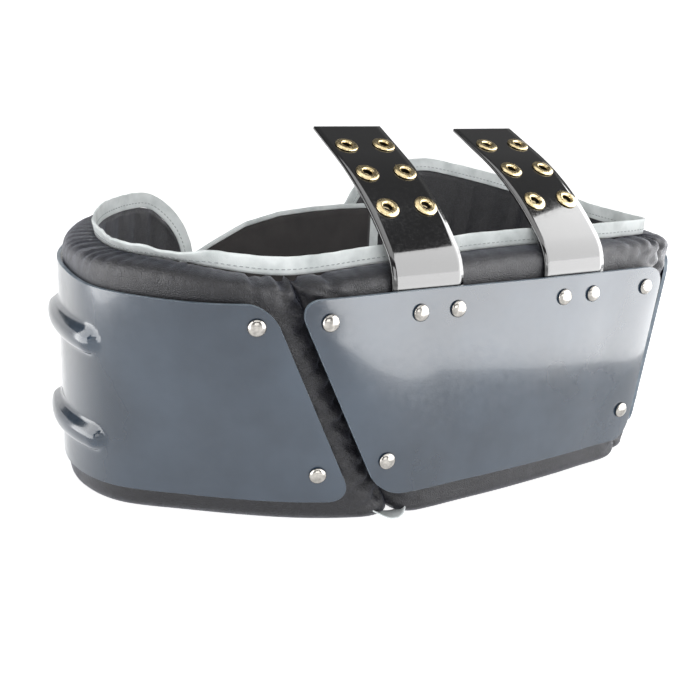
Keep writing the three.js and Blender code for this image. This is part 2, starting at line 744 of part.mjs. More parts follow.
function makeStrap(strap) {
  const lengths = [0];
  let done = 0;
  for (const stretch of STRAP_STRETCHES) {
    for (let i = 1; i <= stretch.steps; i += 1) {
      lengths.push(done + (i / stretch.steps) * stretch.length);
    }
    done += stretch.length;
  }
  const half = STRAP_WIDTH / 2;
  const edge = STRAP_THICKNESS / 2;
  const corners = [[-half, -edge], [half, -edge], [half, edge], [-half, edge]];
  const rings = lengths.map((length) => {
    const frame = strapFrame(strap, length);
    return corners.map(([x, z]) => new THREE.Vector3(x, 0, z).applyMatrix4(frame));
  });
  return loft(rings, SQUARE_CAP);
}

function grommetGeometry() {
  const face = STRAP_THICKNESS / 2 + GROMMET_PLAY;
  const flange = face + GROMMET_FLANGE;
  const edge = GROMMET_FLANGE / 2;
  const half = [
    [GROMMET_BORE / 2, flange],
    [GROMMET_OUTER / 2 - edge, flange],
    [GROMMET_OUTER / 2, face],
    [GROMMET_BARREL / 2, face],
  ];
  const other = half.map(([radius, z]) => [radius, -z]).reverse();
  const profile = [...half, ...other, half[0]].map(([radius, z]) => new THREE.Vector2(radius, z));
  const geometry = new THREE.LatheGeometry(profile.reverse(), ROUND_SIDES);
  geometry.rotateX(Math.PI / 2);
  return geometry;
}

const strapRivetFrames = [];
STRAPS.forEach((strap) => {
  strap.base = faceFrame(strap.distance, plateTop, STRAP_PLAY + STRAP_THICKNESS / 2);
  const grommets = [];
  for (let row = 0; row < GROMMET_ROWS; row += 1) {
    for (const side of [-1, 1]) {
      const length = STRAP_LENGTH - GROMMET_END_MARGIN - row * GROMMET_ROW_PITCH;
      const shift = GROMMET_SHIFT + (side * GROMMET_COLUMN_PITCH) / 2;
      const across = new THREE.Matrix4().makeTranslation(shift, 0, 0);
      const frame = strapFrame(strap, length).multiply(across);
      grommets.push(frame);
      const mesh = addPiece(`${strap.name}_grommet_${row * 2 + (side + 3) / 2}`, grommetGeometry(), 'brass');
      mesh.applyMatrix4(frame);
    }
  }
  const rivets = [-1, 1].map((side) => {
    const distance = strap.distance + STRAP_RIVET_SHIFT + (side * STRAP_RIVET_SPACING) / 2;
    return faceFrame(distance, plateTop - STRAP_RIVET_DROP, plateFace(strapPlate, distance));
  });
  strapRivetFrames.push(...rivets);
  const drilled = cutHoles(makeStrap(strap), grommets, GROMMET_BARREL / 2 + CLEARANCE, STRAP_THICKNESS * 3);
  const depth = 4 * STRAP_PLATE_STAND_OFF;
  addPiece(strap.name, cutHoles(drilled, rivets, RIVET_SHANK / 2 + CLEARANCE, depth), 'strap');
});

for (const [name, plate] of Object.entries(PLATES)) {
  const corners = cornerRivets(plate);
  const frames = name === 'strap_plate' ? [...corners, ...strapRivetFrames] : corners;
  const hole = RIVET_SHANK / 2 + CLEARANCE;
  addPiece(name, cutHoles(makePlate(plate), frames, hole, PLATE_THICKNESS * 3), 'plate');
  frames.forEach((frame, index) => {
    const throughStrap = index >= corners.length;
    const shank = PLATE_THICKNESS + (throughStrap ? STRAP_PLAY + STRAP_THICKNESS : 0);
    const mesh = addPiece(`${name}_rivet_${index + 1}`, rivetGeometry(shank), 'nickel');
    mesh.applyMatrix4(frame);
  });
}

// The belt stands with the middle of its outer box over the origin
group.updateMatrixWorld(true);
const box = new THREE.Box3().setFromObject(group, true);
const centre = box.getCenter(new THREE.Vector3());
group.position.set(-centre.x, -centre.y, -box.min.z);
group.updateMatrixWorld(true);

export default group;
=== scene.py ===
"""Rib protector: a padded belt with smoked plates and upright straps, standing on its rim.

The file follows the belt as it is put together: camera, padded panels, binding, front
flap, plates, rivets, straps, grommets, and last the floor and the light. Belt sizes are
in millimetres and turn into metres where a mesh is made.
"""

import math

import bmesh
import bpy
import numpy as np
from mathutils import Matrix, Vector, noise


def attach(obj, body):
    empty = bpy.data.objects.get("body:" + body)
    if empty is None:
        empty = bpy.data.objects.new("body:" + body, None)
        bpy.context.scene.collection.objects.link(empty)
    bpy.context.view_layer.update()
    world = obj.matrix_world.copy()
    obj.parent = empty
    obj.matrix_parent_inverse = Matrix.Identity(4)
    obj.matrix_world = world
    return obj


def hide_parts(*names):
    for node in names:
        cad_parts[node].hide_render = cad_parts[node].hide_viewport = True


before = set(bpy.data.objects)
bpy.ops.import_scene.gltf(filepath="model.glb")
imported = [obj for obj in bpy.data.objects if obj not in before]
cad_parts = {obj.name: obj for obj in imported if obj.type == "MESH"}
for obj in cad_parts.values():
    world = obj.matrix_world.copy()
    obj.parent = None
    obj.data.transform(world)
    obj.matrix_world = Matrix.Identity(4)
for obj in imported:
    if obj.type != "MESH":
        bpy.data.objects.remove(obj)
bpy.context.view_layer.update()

# Camera
# It stands low in front of the left corner of the strap panel, as the photographer did,
# and is turned a little on its own axis.

MILLIMETRE = 0.001
BELT_SHIFT = np.array([-5.271, 4.454, 0.0])
CAMERA_AZIMUTH = math.radians(-38)
CAMERA_ELEVATION = math.radians(18)
CAMERA_ROLL = math.radians(3)
CAMERA_DISTANCE = 750
CAMERA_TARGET = Vector((BELT_SHIFT[0], BELT_SHIFT[1], 70))
CAMERA_LENS = 51.43
CAMERA_SENSOR = 36

camera_back = Vector((
    math.sin(CAMERA_AZIMUTH) * math.cos(CAMERA_ELEVATION),
    -math.cos(CAMERA_AZIMUTH) * math.cos(CAMERA_ELEVATION),
    math.sin(CAMERA_ELEVATION),
))
camera_right = (-camera_back).cross(Vector((0, 0, 1))).normalized()
camera_up = camera_right.cross(-camera_back)
rolled_right = camera_right * math.cos(CAMERA_ROLL) + camera_up * math.sin(CAMERA_ROLL)
rolled_up = camera_up * math.cos(CAMERA_ROLL) - camera_right * math.sin(CAMERA_ROLL)

camera_data = bpy.data.cameras.new("photo_camera")
camera_data.lens = CAMERA_LENS
camera_data.sensor_width = CAMERA_SENSOR
camera = bpy.data.objects.new("photo_camera", camera_data)
bpy.context.scene.collection.objects.link(camera)
turned = Matrix((rolled_right, rolled_up, camera_back)).transposed().to_4x4()
place = (CAMERA_TARGET + camera_back * CAMERA_DISTANCE) * MILLIMETRE
camera.matrix_world = Matrix.Translation(place) @ turned
bpy.context.scene.camera = camera

# Padded panels
# Three panels of black nylon over thick foam, sewn together at two slanted seams. The
# nylon puckers along the seams and under the binding, and its inner face is wrinkled.

HALF_WIDTH = 222
HALF_DEPTH = 146
PANEL_HEIGHT = 168
PAD_THICKNESS = 22
TAB_THICKNESS = 13
TAB_TAPER = 110
SEAM_THICKNESS = 12
PINCH_LENGTH = 20
TOP_ROUND = 15
FOOT_ROUND = 7
TAB_CORNER = 46
SEAM_LIFT = 4
SEAM_OVERLAP = 0.3
GATHERED_CORNER = 215
INNER_FACE = -PAD_THICKNESS

# Columns: foot x, foot y, rim x, rim y, rim height, lean of the binding in degrees
LOOP_SECTIONS = np.array([
    (-0.36, 0.97, -0.36, 0.98, 0.98, 0),
    (-0.49, 0.94, -0.5, 0.94, 0.985, 0),
    (-0.63, 0.86, -0.64, 0.84, 0.99, 0),
    (-0.77, 0.69, -0.775, 0.67, 0.985, 0),
    (-0.87, 0.46, -0.88, 0.42, 0.98, 5),
    (-0.925, 0.18, -0.935, 0.14, 0.985, 20),
    (-0.89, -0.08, -0.95, -0.2, 1, 45),
    (-0.74, -0.33, -0.86, -0.48, 1, 50),
    (-0.47, -0.68, -0.765, -0.62, 0.985, 22),
    (-0.24, -0.85, -0.57, -0.745, 0.955, 0),
    (0.03, -0.905, -0.24, -0.815, 0.975, 0),
    (0.25, -0.93, 0.14, -0.9, 1, 0),
    (0.49, -0.94, 0.45, -0.96, 1, 0),
    (0.71, -0.92, 0.785, -0.97, 1, 0),
    (0.86, -0.73, 0.92, -0.77, 0.985, 0),
    (0.93, -0.45, 0.97, -0.45, 0.98, 0),
    (0.95, -0.07, 1, -0.07, 0.995, 0),
    (0.95, 0.34, 1, 0.34, 1.02, 0),
    (0.9, 0.68, 0.93, 0.72, 1.05, 0),
    (0.79, 0.89, 0.81, 0.94, 1.07, 0),
    (0.6, 0.985, 0.61, 1.03, 1.05, 0),
    (0.38, 0.99, 0.41, 1.03, 1.03, 0),
])
LEFT_SEAM_ROW = 9
RIGHT_SEAM_ROW = 13
last_section = len(LOOP_SECTIONS) - 1

section_zeros = np.zeros(last_section + 1)
foot_points = np.stack([
    LOOP_SECTIONS[:, 0] * HALF_WIDTH,
    LOOP_SECTIONS[:, 1] * HALF_DEPTH,
    section_zeros,
], 1)
rim_points = np.stack([
    LOOP_SECTIONS[:, 2] * HALF_WIDTH,
    LOOP_SECTIONS[:, 3] * HALF_DEPTH,
    LOOP_SECTIONS[:, 4] * PANEL_HEIGHT,
], 1)
lean_points = np.stack([np.arange(last_section + 1.0), LOOP_SECTIONS[:, 5], section_zeros], 1)


def smooth_line(points, station):
    """Points on the centripetal smooth curve through the given points, station 0 to 1."""
    station = np.atleast_1d(station)
    count = len(points)
    padded = np.concatenate([2 * points[:1] - points[1:2], points, 2 * points[-1:] - points[-2:-1]])
    place = np.clip(station, 0, 1) * (count - 1)
    index = np.minimum(place.astype(int), count - 2)
    share = (place - index)[:, None]
    p0, p1, p2, p3 = (padded[index + k] for k in range(4))
    step0, step1, step2 = (
        np.maximum(np.linalg.norm(b - a, axis=1), 1e-6)[:, None] ** 0.5
        for a, b in ((p0, p1), (p1, p2), (p2, p3))
    )
    leave = (p1 - p0) / step0 - (p2 - p0) / (step0 + step1) + (p2 - p1) / step1
    arrive = (p2 - p1) / step1 - (p3 - p1) / (step1 + step2) + (p3 - p2) / step2
    leave, arrive = leave * step1, arrive * step1
    return (
        p1
        + leave * share
        + (-3 * p1 + 3 * p2 - 2 * leave - arrive) * share**2
        + (2 * p1 - 2 * p2 + leave + arrive) * share**3
    )


def outward(station, share):
    """Level directions away from the wearer, for stations and shares of the height."""
    step = 0.002
    before = np.maximum(0, station - step)
    after = np.minimum(1, station + step)
    foot_run = smooth_line(foot_points, after) - smooth_line(foot_points, before)
    rim_run = smooth_line(rim_points, after) - smooth_line(rim_points, before)
    run = foot_run + (rim_run - foot_run) * share[:, None]
    level = np.stack([run[:, 1], -run[:, 0], np.zeros(len(run))], 1)
    return level / np.linalg.norm(level, axis=1)[:, None]


def skin(station, z, out):
    """Points of the belt's outer face at stations and heights, moved outwards by out."""
    station, z, out = np.broadcast_arrays(*(np.asarray(a, float) for a in (station, z, out)))
    shape = station.shape
    station, z, out = station.ravel(), z.ravel(), out.ravel()
    foot = smooth_line(foot_points, station)
    rim = smooth_line(rim_points, station)
    share = z / rim[:, 2]
    point = foot + (rim - foot) * share[:, None] + outward(station, share) * out[:, None]
    point[:, 2] = z
    return point.reshape(*shape, 3)


LOOP_STEPS = 600
loop_stations = np.linspace(0, 1, LOOP_STEPS + 1)
loop_line = skin(loop_stations, PANEL_HEIGHT / 2, 0)
loop_gaps = np.linalg.norm(np.diff(loop_line, axis=0), axis=1)
loop_distances = np.concatenate([[0], np.cumsum(loop_gaps)])
LOOP_LENGTH = loop_distances[-1]
left_seam = np.interp(LEFT_SEAM_ROW / last_section, loop_stations, loop_distances)
right_seam = np.interp(RIGHT_SEAM_ROW / last_section, loop_stations, loop_distances)


def station_at(distance):
    return np.interp(distance, loop_distances, loop_stations)


def from_end(distance):
    return np.minimum(distance, LOOP_LENGTH - distance)


def rim_height(distance):
    """The rim's height, which rounds down at the two front ends."""
    height = smooth_line(rim_points, station_at(distance))[:, 2]
    near = np.clip(from_end(distance), 0, TAB_CORNER)
    return height - TAB_CORNER + np.sqrt(TAB_CORNER**2 - (TAB_CORNER - near) ** 2)


def smooth_step(value, low, high):
    share = np.clip((value - low) / (high - low), 0, 1)
    return share * share * (3 - 2 * share)


def foam_thickness(distance):
    share = smooth_step(from_end(distance), 0, TAB_TAPER)
    return TAB_THICKNESS + (PAD_THICKNESS - TAB_THICKNESS) * share


def soft_noise(points, size, seed):
    """Smooth noise, about -1 to 1, at points in millimetres, with lumps of the given size."""
    flat = (points / size + seed).reshape(-1, 3)
    values = [noise.noise(p, noise_basis="PERLIN_ORIGINAL") for p in flat]
    return np.array(values).reshape(points.shape[:-1])


def along_noise(distance, size, seed):
    seeds = np.full_like(distance, seed)
    points = np.stack([distance / size + seed, seeds, np.zeros_like(distance)], -1)
    return soft_noise(points, 1.0, 0.0)


def grid_normals(grid):
    """Unit normals of a grid of points that is closed across its second way."""
    along = np.gradient(grid, axis=0)
    around = np.roll(grid, -1, 1) - np.roll(grid, 1, 1)
    normal = np.cross(along, around)
    return normal / np.maximum(np.linalg.norm(normal, axis=2), 1e-9)[..., None]


def mesh_piece(name, points, faces, material):
    """A new mesh object from points in belt millimetres. It rides on the belt."""
    mesh = bpy.data.meshes.new(name)
    placed = (np.asarray(points) + BELT_SHIFT) * MILLIMETRE
    mesh.from_pydata(placed.tolist(), [], faces)
    mesh.validate()
    tidy = bmesh.new()
    tidy.from_mesh(mesh)
    bmesh.ops.recalc_face_normals(tidy, faces=tidy.faces)
    tidy.to_mesh(mesh)
    tidy.free()
    mesh.polygons.foreach_set("use_smooth", [True] * len(mesh.polygons))
    mesh.materials.append(material)
    piece = bpy.data.objects.new(name, mesh)
    bpy.context.scene.collection.objects.link(piece)
    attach(piece, "root")
    return piece


def tube_faces(rings, around, caps=True):
    """Faces between rings of points that close on themselves, with a cap at each end."""
    faces = []
    for ring in range(rings - 1):
        low, high = ring * around, (ring + 1) * around
        for j in range(around):
            k = (j + 1) % around
            faces.append((low + j, low + k, high + k, high + j))
    if caps:
        faces.append(tuple(range(around)))
        faces.append(tuple((rings - 1) * around + j for j in range(around)))
    return faces


class Finish:
    """A material with its nodes: a few lines each for colour, roughness and bump."""

    def __init__(self, name, **values):
        self.material = bpy.data.materials.new(name)
        self.material.use_nodes = True
        self.nodes = self.material.node_tree.nodes
        self.links = self.material.node_tree.links
        self.shader = self.nodes["Principled BSDF"]
        for socket, value in values.items():
            self.shader.inputs[socket.replace("_", " ")].default_value = value
        self.place = self.nodes.new("ShaderNodeTexCoord").outputs["Object"]
        self.height = None

    def noise(self, scale, detail=2, stretch=(1, 1, 1)):
        mapping = self.nodes.new("ShaderNodeMapping")
        mapping.inputs["Scale"].default_value = stretch
        self.links.new(self.place, mapping.inputs["Vector"])
        node = self.nodes.new("ShaderNodeTexNoise")
        node.inputs["Scale"].default_value = scale
        node.inputs["Detail"].default_value = detail
        self.links.new(mapping.outputs[0], node.inputs["Vector"])
        return node.outputs["Fac"]

    def ramp(self, value, stops):
        node = self.nodes.new("ShaderNodeValToRGB")
        elements = node.color_ramp.elements
        while len(elements) < len(stops):
            elements.new(0.5)
        for element, (place, colour) in zip(elements, stops):
            element.position = place
            element.color = (*colour, 1)
        self.links.new(value, node.inputs["Fac"])
        return node.outputs["Color"]

    def grey(self, value, low, high, dark, light):
        return self.ramp(value, [(low, (dark,) * 3), (high, (light,) * 3)])

    def colour(self, value, stops):
        self.links.new(self.ramp(value, stops), self.shader.inputs["Base Color"])

    def rough(self, value, low, high, smooth, dull):
        self.links.new(self.grey(value, low, high, smooth, dull), self.shader.inputs["Roughness"])

    def bump(self, value, strength, depth):
        node = self.nodes.new("ShaderNodeBump")
        node.inputs["Strength"].default_value = strength
        node.inputs["Distance"].default_value = depth
        self.links.new(value, node.inputs["Height"])
        if self.height is not None:
            self.links.new(self.height, node.inputs["Normal"])
        self.height = node.outputs["Normal"]
        self.links.new(self.height, self.shader.inputs["Normal"])


nylon = Finish("black_nylon", Roughness=0.5, Sheen_Weight=0.22, Sheen_Roughness=0.35)
nylon.shader.inputs["Sheen Tint"].default_value = (0.75, 0.8, 1, 1)
nylon.shader.inputs["Specular IOR Level"].default_value = 0.42
nylon.colour(nylon.noise(900, 2), [(0.35, (0.002, 0.002, 0.003)), (0.7, (0.014, 0.014, 0.019))])
nylon.rough(nylon.noise(240, 3), 0.3, 0.7, 0.36, 0.54)
nylon.bump(nylon.noise(1400, 1), 0.9, 0.0006)
nylon.bump(nylon.noise(60, 3, (1, 1, 0.6)), 0.2, 0.0012)

OUTER_ROWS = 56
ROUND_ROWS = 20
INNER_ROWS = 36
FOOT_ROWS = 6
RING_SPACING = 2.5
PINCH_RINGS = 9
TOP_SQUARENESS = 4.0
SEAM_FADE = 2.5
SWELL_DEPTH = 0.7
SWELL_SIZE = 46
# Columns: depth, reach from the seam, slant, pitch, sway, step of the seed
SEAM_PUCKERS = (
    (5.6, 14, 0.55, 13, 0.6, 0),
    (3.6, 20, -0.9, 19, 0.7, 4),
)
TOP_FOLD_DEPTH = 3.8
TOP_FOLD_REACH = 24
TOP_FOLD_PITCH = 11
GATHER_PITCH = 12
RIM_GATHER_DEPTH = 0.5
CORNER_GATHER_DEPTH = 2.4
CORNER_GATHER_REACH = 38
WRINKLE_DEPTH = 1.7
WRINKLE_PITCH = 27
CREASE_DEPTH = 0.8
INNER_CREASE_SIZE = 16
TAB_CREASE_SIZE = 20
CALM_FOOT = 14


def pad_outline(height, thickness, lift):
    """A panel's outline as pairs of out and height: up the front, over the top and down."""
    face = INNER_FACE + thickness
    low = lift + FOOT_ROUND
    high = height - TOP_ROUND
    turn = np.linspace(0, math.pi / 2, ROUND_ROWS + 1)[1:]
    foot_turn = np.linspace(0, math.pi / 2, FOOT_ROWS)[:-1]
    foot_in = min(FOOT_ROUND, thickness / 2)
    front = np.stack([np.full(OUTER_ROWS, face), np.linspace(low, high, OUTER_ROWS)], 1)
    squared = 2 / TOP_SQUARENESS
    top = np.stack([
        INNER_FACE + thickness * np.maximum(np.cos(turn), 0) ** squared,
        high + TOP_ROUND * np.sin(turn) ** squared,
    ], 1)
    inner = np.stack([np.full(INNER_ROWS, INNER_FACE), np.linspace(height, lift, INNER_ROWS + 1)[1:]], 1)
    sole = np.linspace(INNER_FACE, face - foot_in, FOOT_ROWS + 1)[1:-1]
    bottom = np.stack([sole, np.full(len(sole), lift)], 1)
    corner = np.stack([
        face - foot_in + foot_in * np.sin(foot_turn),
        lift + FOOT_ROUND * (1 - np.cos(foot_turn)),
    ], 1)
    return np.concatenate([front, top, inner, bottom, corner])


def folds(at, pitch, sway, seed):
    """Sharp folds of uneven pitch and depth, 0 on their ridges and 1 in their creases."""
    place = at / pitch + sway * along_noise(at, 2.4 * pitch, seed)
    depth = 0.65 + 0.5 * along_noise(at, 1.7 * pitch, seed + 1.5)
    return np.abs(np.sin(place * math.pi)) ** 5 * np.clip(depth, 0.1, 1.2)


def padded_panel(name, start, end, seed):
    """A panel from one distance along the belt to another, pinched at both ends."""
    inset = np.linspace(0, 1, PINCH_RINGS) ** 1.6 * PINCH_LENGTH
    middle = np.arange(start + PINCH_LENGTH + RING_SPACING, end - PINCH_LENGTH, RING_SPACING)
    distances = np.concatenate([start + inset, middle, end - inset[::-1]])
    edge = np.minimum(distances - start, end - distances)
    full = np.sqrt(1 - (1 - np.clip(edge / PINCH_LENGTH, 0, 1)) ** 2)
    plump = SEAM_THICKNESS + (foam_thickness(distances) - SEAM_THICKNESS) * full
    heights = rim_height(distances)
    outlines = np.stack([
        pad_outline(h, t, SEAM_LIFT * (1 - f)) for h, t, f in zip(heights, plump, full)
    ])
    grid = skin(station_at(distances)[:, None], outlines[..., 1], outlines[..., 0])
    normals = grid_normals(grid)
    ring = len(grid) // 2
    away = outward(station_at(distances[ring:ring + 1]), np.array([0.5]))[0]
    if normals[ring, 5] @ away < 0:
        normals = -normals
    rows = np.arange(grid.shape[1])
    on_front = rows < OUTER_ROWS
    on_top = (rows >= OUTER_ROWS) & (rows < OUTER_ROWS + ROUND_ROWS)
    on_inner = (rows >= OUTER_ROWS + ROUND_ROWS) & (rows < OUTER_ROWS + ROUND_ROWS + INNER_ROWS)
    at = distances[:, None] + 0 * rows
    z = grid[..., 2]
    below_rim = heights[:, None] - z
    from_seam = edge[:, None]
    # broad swells of the foam
    relief = SWELL_DEPTH * soft_noise(grid, SWELL_SIZE, seed) * (on_front | on_top)
    # zigzag puckers where the nylon is gathered into the seams
    seamed = (from_end(distances) > TAB_TAPER)[:, None] * (on_front | on_top)
    sewn = smooth_step(from_seam, 0, SEAM_FADE) * seamed
    for depth, reach, slant, pitch, sway, step in SEAM_PUCKERS:
        puckers = folds(z + slant * from_seam, pitch, sway, seed + step)
        relief -= depth * sewn * np.exp(-from_seam / reach) * puckers
    # gathers under the binding, deep at the front left corner and slight elsewhere
    corner_pull = np.exp(-((at - GATHERED_CORNER) / CORNER_GATHER_REACH) ** 2)
    rim_pull = on_top * (0.25 + 0.75 * (rows - OUTER_ROWS) / ROUND_ROWS)
    gathers = rim_pull * folds(at + 0.25 * below_rim, GATHER_PITCH, 0.8, seed + 3)
    relief -= (RIM_GATHER_DEPTH + CORNER_GATHER_DEPTH * corner_pull) * gathers
    # folds across the top beside the seams
    top_folds = on_top * seamed * folds(at + 0.4 * below_rim, TOP_FOLD_PITCH, 0.8, seed + 9)
    relief -= TOP_FOLD_DEPTH * np.exp(-from_seam / TOP_FOLD_REACH) * top_folds
    # the wrinkled inner face
    wrinkles = on_inner * folds(at + 0.12 * z, WRINKLE_PITCH, 0.9, seed + 7)
    relief -= WRINKLE_DEPTH * wrinkles * smooth_step(z, 4, 40)
    relief += CREASE_DEPTH * on_inner * soft_noise(grid * [1, 1, 0.45], INNER_CREASE_SIZE, seed + 5)
    # the thin front ends are creased all over
    tab = smooth_step(TAB_TAPER - from_end(distances), 0, 60)[:, None]
    relief += CREASE_DEPTH * tab * soft_noise(grid, TAB_CREASE_SIZE, seed + 11)
    calm = smooth_step(z, 0, CALM_FOOT)
    grid = grid + normals * (relief * calm)[..., None]
    grid[..., 2] = np.maximum(grid[..., 2], 0)
    rings, around = grid.shape[:2]
    pad = mesh_piece(name + "_cover", grid.reshape(-1, 3), tube_faces(rings, around), nylon.material)
    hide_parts(name)


padded_panel("left_side_pad", 0.0, left_seam + SEAM_OVERLAP / 2, 3.1)
padded_panel("strap_panel_pad", left_seam - SEAM_OVERLAP / 2, right_seam + SEAM_OVERLAP / 2, 17.7)
padded_panel("right_side_pad", right_seam - SEAM_OVERLAP / 2, LOOP_LENGTH, 29.3)

# Binding
# A greyish white woven tape, folded over the inner top edge of the panels and sewn down
# with one row of stitches. It leans outwards on the left side, and the same tape binds
# the foot inside. It was sewn under tension, so it is crinkled all along.

TAPE_WIDTH = 11
TAPE_THICKNESS = 1.6
PIECE_GAP = 0.3
FOOT_TAPE_LIFT = 1
LOOSE_REACH = 20
LOOSE_SHIFT = 16

tape = Finish("woven_tape", Roughness=0.85, Sheen_Weight=0.15)
tape.shader.inputs["Specular IOR Level"].default_value = 0.25
tape.colour(tape.noise(60, 5), [(0.25, (0.5, 0.54, 0.54)), (0.6, (0.78, 0.82, 0.82))])
tape.bump(tape.noise(1500, 1), 0.35, 0.0004)
tape.bump(tape.noise(220, 3), 0.3, 0.0008)

TAPE_SPACING = 2.5
TAPE_END_SPACING = 4
TAPE_CORNER_STEPS = 30
TAPE_ROWS = 7
TAPE_FOLD_STEPS = 6
SHORT_WAVE = 7
LONG_WAVE = 17


def tape_frames(distances):
    """Where the binding stands on the rim, the way it rises and the way of its thickness."""
    station = station_at(distances)
    ones = np.ones(len(distances))
    normal = outward(station, ones)
    lean = np.radians(smooth_line(lean_points, station)[:, 1])[:, None]
    turn = np.arcsin(np.clip((TAB_CORNER - from_end(distances)) / TAB_CORNER, 0, 1))[:, None]
    up = np.array([0.0, 0.0, 1.0])
    endward = np.cross(up, normal) * np.where(distances < LOOP_LENGTH / 2, -1, 1)[:, None]
    upright = up * np.cos(turn) + endward * np.sin(turn)
    rise = upright * np.cos(lean) + normal * np.sin(lean)
    side = normal * np.cos(lean) - upright * np.sin(lean)
    root = skin(station, rim_height(distances), INNER_FACE)
    root[:, 2] += TAPE_THICKNESS * np.sin(lean[:, 0])
    return root, rise, side


def tape_section(width, thickness):
    """The folded tape's outline as pairs of rise and side, with a round fold at the top."""
    half = thickness / 2
    turn = np.linspace(0, math.pi, TAPE_FOLD_STEPS)
    up = np.stack([np.linspace(0, width - half, TAPE_ROWS), np.zeros(TAPE_ROWS)], 1)
    fold = np.stack([width - half + half * np.sin(turn), half - half * np.cos(turn)], 1)[1:-1]
    down = np.stack([np.linspace(width - half, 0, TAPE_ROWS), np.full(TAPE_ROWS, thickness)], 1)
    return np.concatenate([up, fold, down])


def ruffled(root, rise, side, at, section, seed, depth):
    """Points of a tape: its section at each frame, waved across its thickness."""
    grid = (
        root[:, None]
        + rise[:, None] * section[None, :, :1]
        + side[:, None] * section[None, :, 1:]
    )
    share = section[None, :, 0] / section[:, 0].max()
    wave = along_noise(at, SHORT_WAVE, seed) + 0.8 * along_noise(at, LONG_WAVE, seed + 2)
    sway = depth * share * wave[:, None]
    return grid + side[:, None] * sway[..., None]


even_distances = np.arange(0, LOOP_LENGTH + TAPE_SPACING / 2, TAPE_SPACING)
corner_turns = np.linspace(0, math.pi / 2, TAPE_CORNER_STEPS)[:-1]
corner_distances = TAB_CORNER * (1 - np.cos(corner_turns))
rim_distances = np.concatenate([
    corner_distances,
    even_distances[(even_distances > TAB_CORNER) & (even_distances < LOOP_LENGTH - TAB_CORNER)],
    LOOP_LENGTH - corner_distances[::-1],
])
root, rise, side = tape_frames(rim_distances)
end_heights = np.arange(
    FOOT_TAPE_LIFT,
    PANEL_HEIGHT - TAB_CORNER - TAPE_END_SPACING,
    float(TAPE_END_SPACING),
)


def end_frames(distance, heights):
    """Frames of the binding down a front end, below its round corner."""
    one = np.array([distance])
    base, up, across = tape_frames(one)
    top = skin(station_at(one), rim_height(one), INNER_FACE)
    here = skin(np.full(len(heights), station_at(distance)), heights, INNER_FACE)
    roots = base + here - top
    roots[:, 2] = heights + base[0, 2] - top[0, 2]
    return roots, np.repeat(up, len(heights), 0), np.repeat(across, len(heights), 0)


first = end_frames(0.0, end_heights)
last = end_frames(LOOP_LENGTH, end_heights[::-1])
root, rise, side = (np.concatenate(parts) for parts in zip(first, (root, rise, side), last))
# distances along the tape, measured near its middle
tape_middle = root + rise * 5
run = np.concatenate([[0], np.cumsum(np.linalg.norm(np.diff(tape_middle, axis=0), axis=1))])
section = tape_section(TAPE_WIDTH, TAPE_THICKNESS) + [PIECE_GAP, 0]
tape_grid = ruffled(root, rise, side, run, section, 5.5, 1.1)
binding = mesh_piece(
    "edge_binding_tape",
    tape_grid.reshape(-1, 3),
    tube_faces(*tape_grid.shape[:2]),
    tape.material,
)
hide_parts("edge_binding")

thread = Finish("grey_thread", Roughness=0.8)
thread.colour(thread.noise(800, 2), [(0.3, (0.3, 0.33, 0.34)), (0.7, (0.42, 0.45, 0.46))])
STITCH_PITCH = 3.6
STITCH_LENGTH = 2.3
STITCH_RADIUS = 0.32
STITCH_SIDES = 6
# Columns: share of the length, share of the radius
STITCH_PROFILE = ((0, 0.4), (0.18, 1), (0.82, 1), (1, 0.4))
OUTER_STITCH_ROW = 2 * TAPE_ROWS + 1
INNER_STITCH_ROW = 2


def stitch_row(name, line):
    """A row of short stitches that follows a line of points on a tape's face."""
    lengths = np.concatenate([[0], np.cumsum(np.linalg.norm(np.diff(line, axis=0), axis=1))])
    starts = np.arange(STITCH_PITCH, lengths[-1] - STITCH_PITCH, STITCH_PITCH)
    turn = np.linspace(0, 2 * math.pi, STITCH_SIDES, endpoint=False)
    stitch_faces = tube_faces(len(STITCH_PROFILE), STITCH_SIDES)
    points = []
    faces = []
    for start in starts:
        ends = np.array([
            [np.interp(start + along, lengths, line[:, k]) for k in range(3)]
            for along in (0, STITCH_LENGTH)
        ])
        way = (ends[1] - ends[0]) / np.linalg.norm(ends[1] - ends[0])
        across = np.cross(way, [0.0, 0.0, 1.0])
        across /= max(np.linalg.norm(across), 1e-6)
        lift = np.cross(across, way)
        ring_way = np.cos(turn)[:, None] * across + np.sin(turn)[:, None] * lift
        base = len(points)
        for share, radius in STITCH_PROFILE:
            centre = ends[0] + (ends[1] - ends[0]) * share
            points.extend(centre + ring_way * STITCH_RADIUS * radius)
        faces += [tuple(base + k for k in face) for face in stitch_faces]
    stitches = mesh_piece(name, np.array(points), faces, thread.material)


stitch_row("edge_binding_outer_stitches", tape_grid[:, OUTER_STITCH_ROW])
stitch_row("edge_binding_inner_stitches", tape_grid[:, INNER_STITCH_ROW])

foot_distances = np.arange(1.0, LOOP_LENGTH - 0.5, TAPE_SPACING)
foot_station = station_at(foot_distances)
foot_face = INNER_FACE - PIECE_GAP
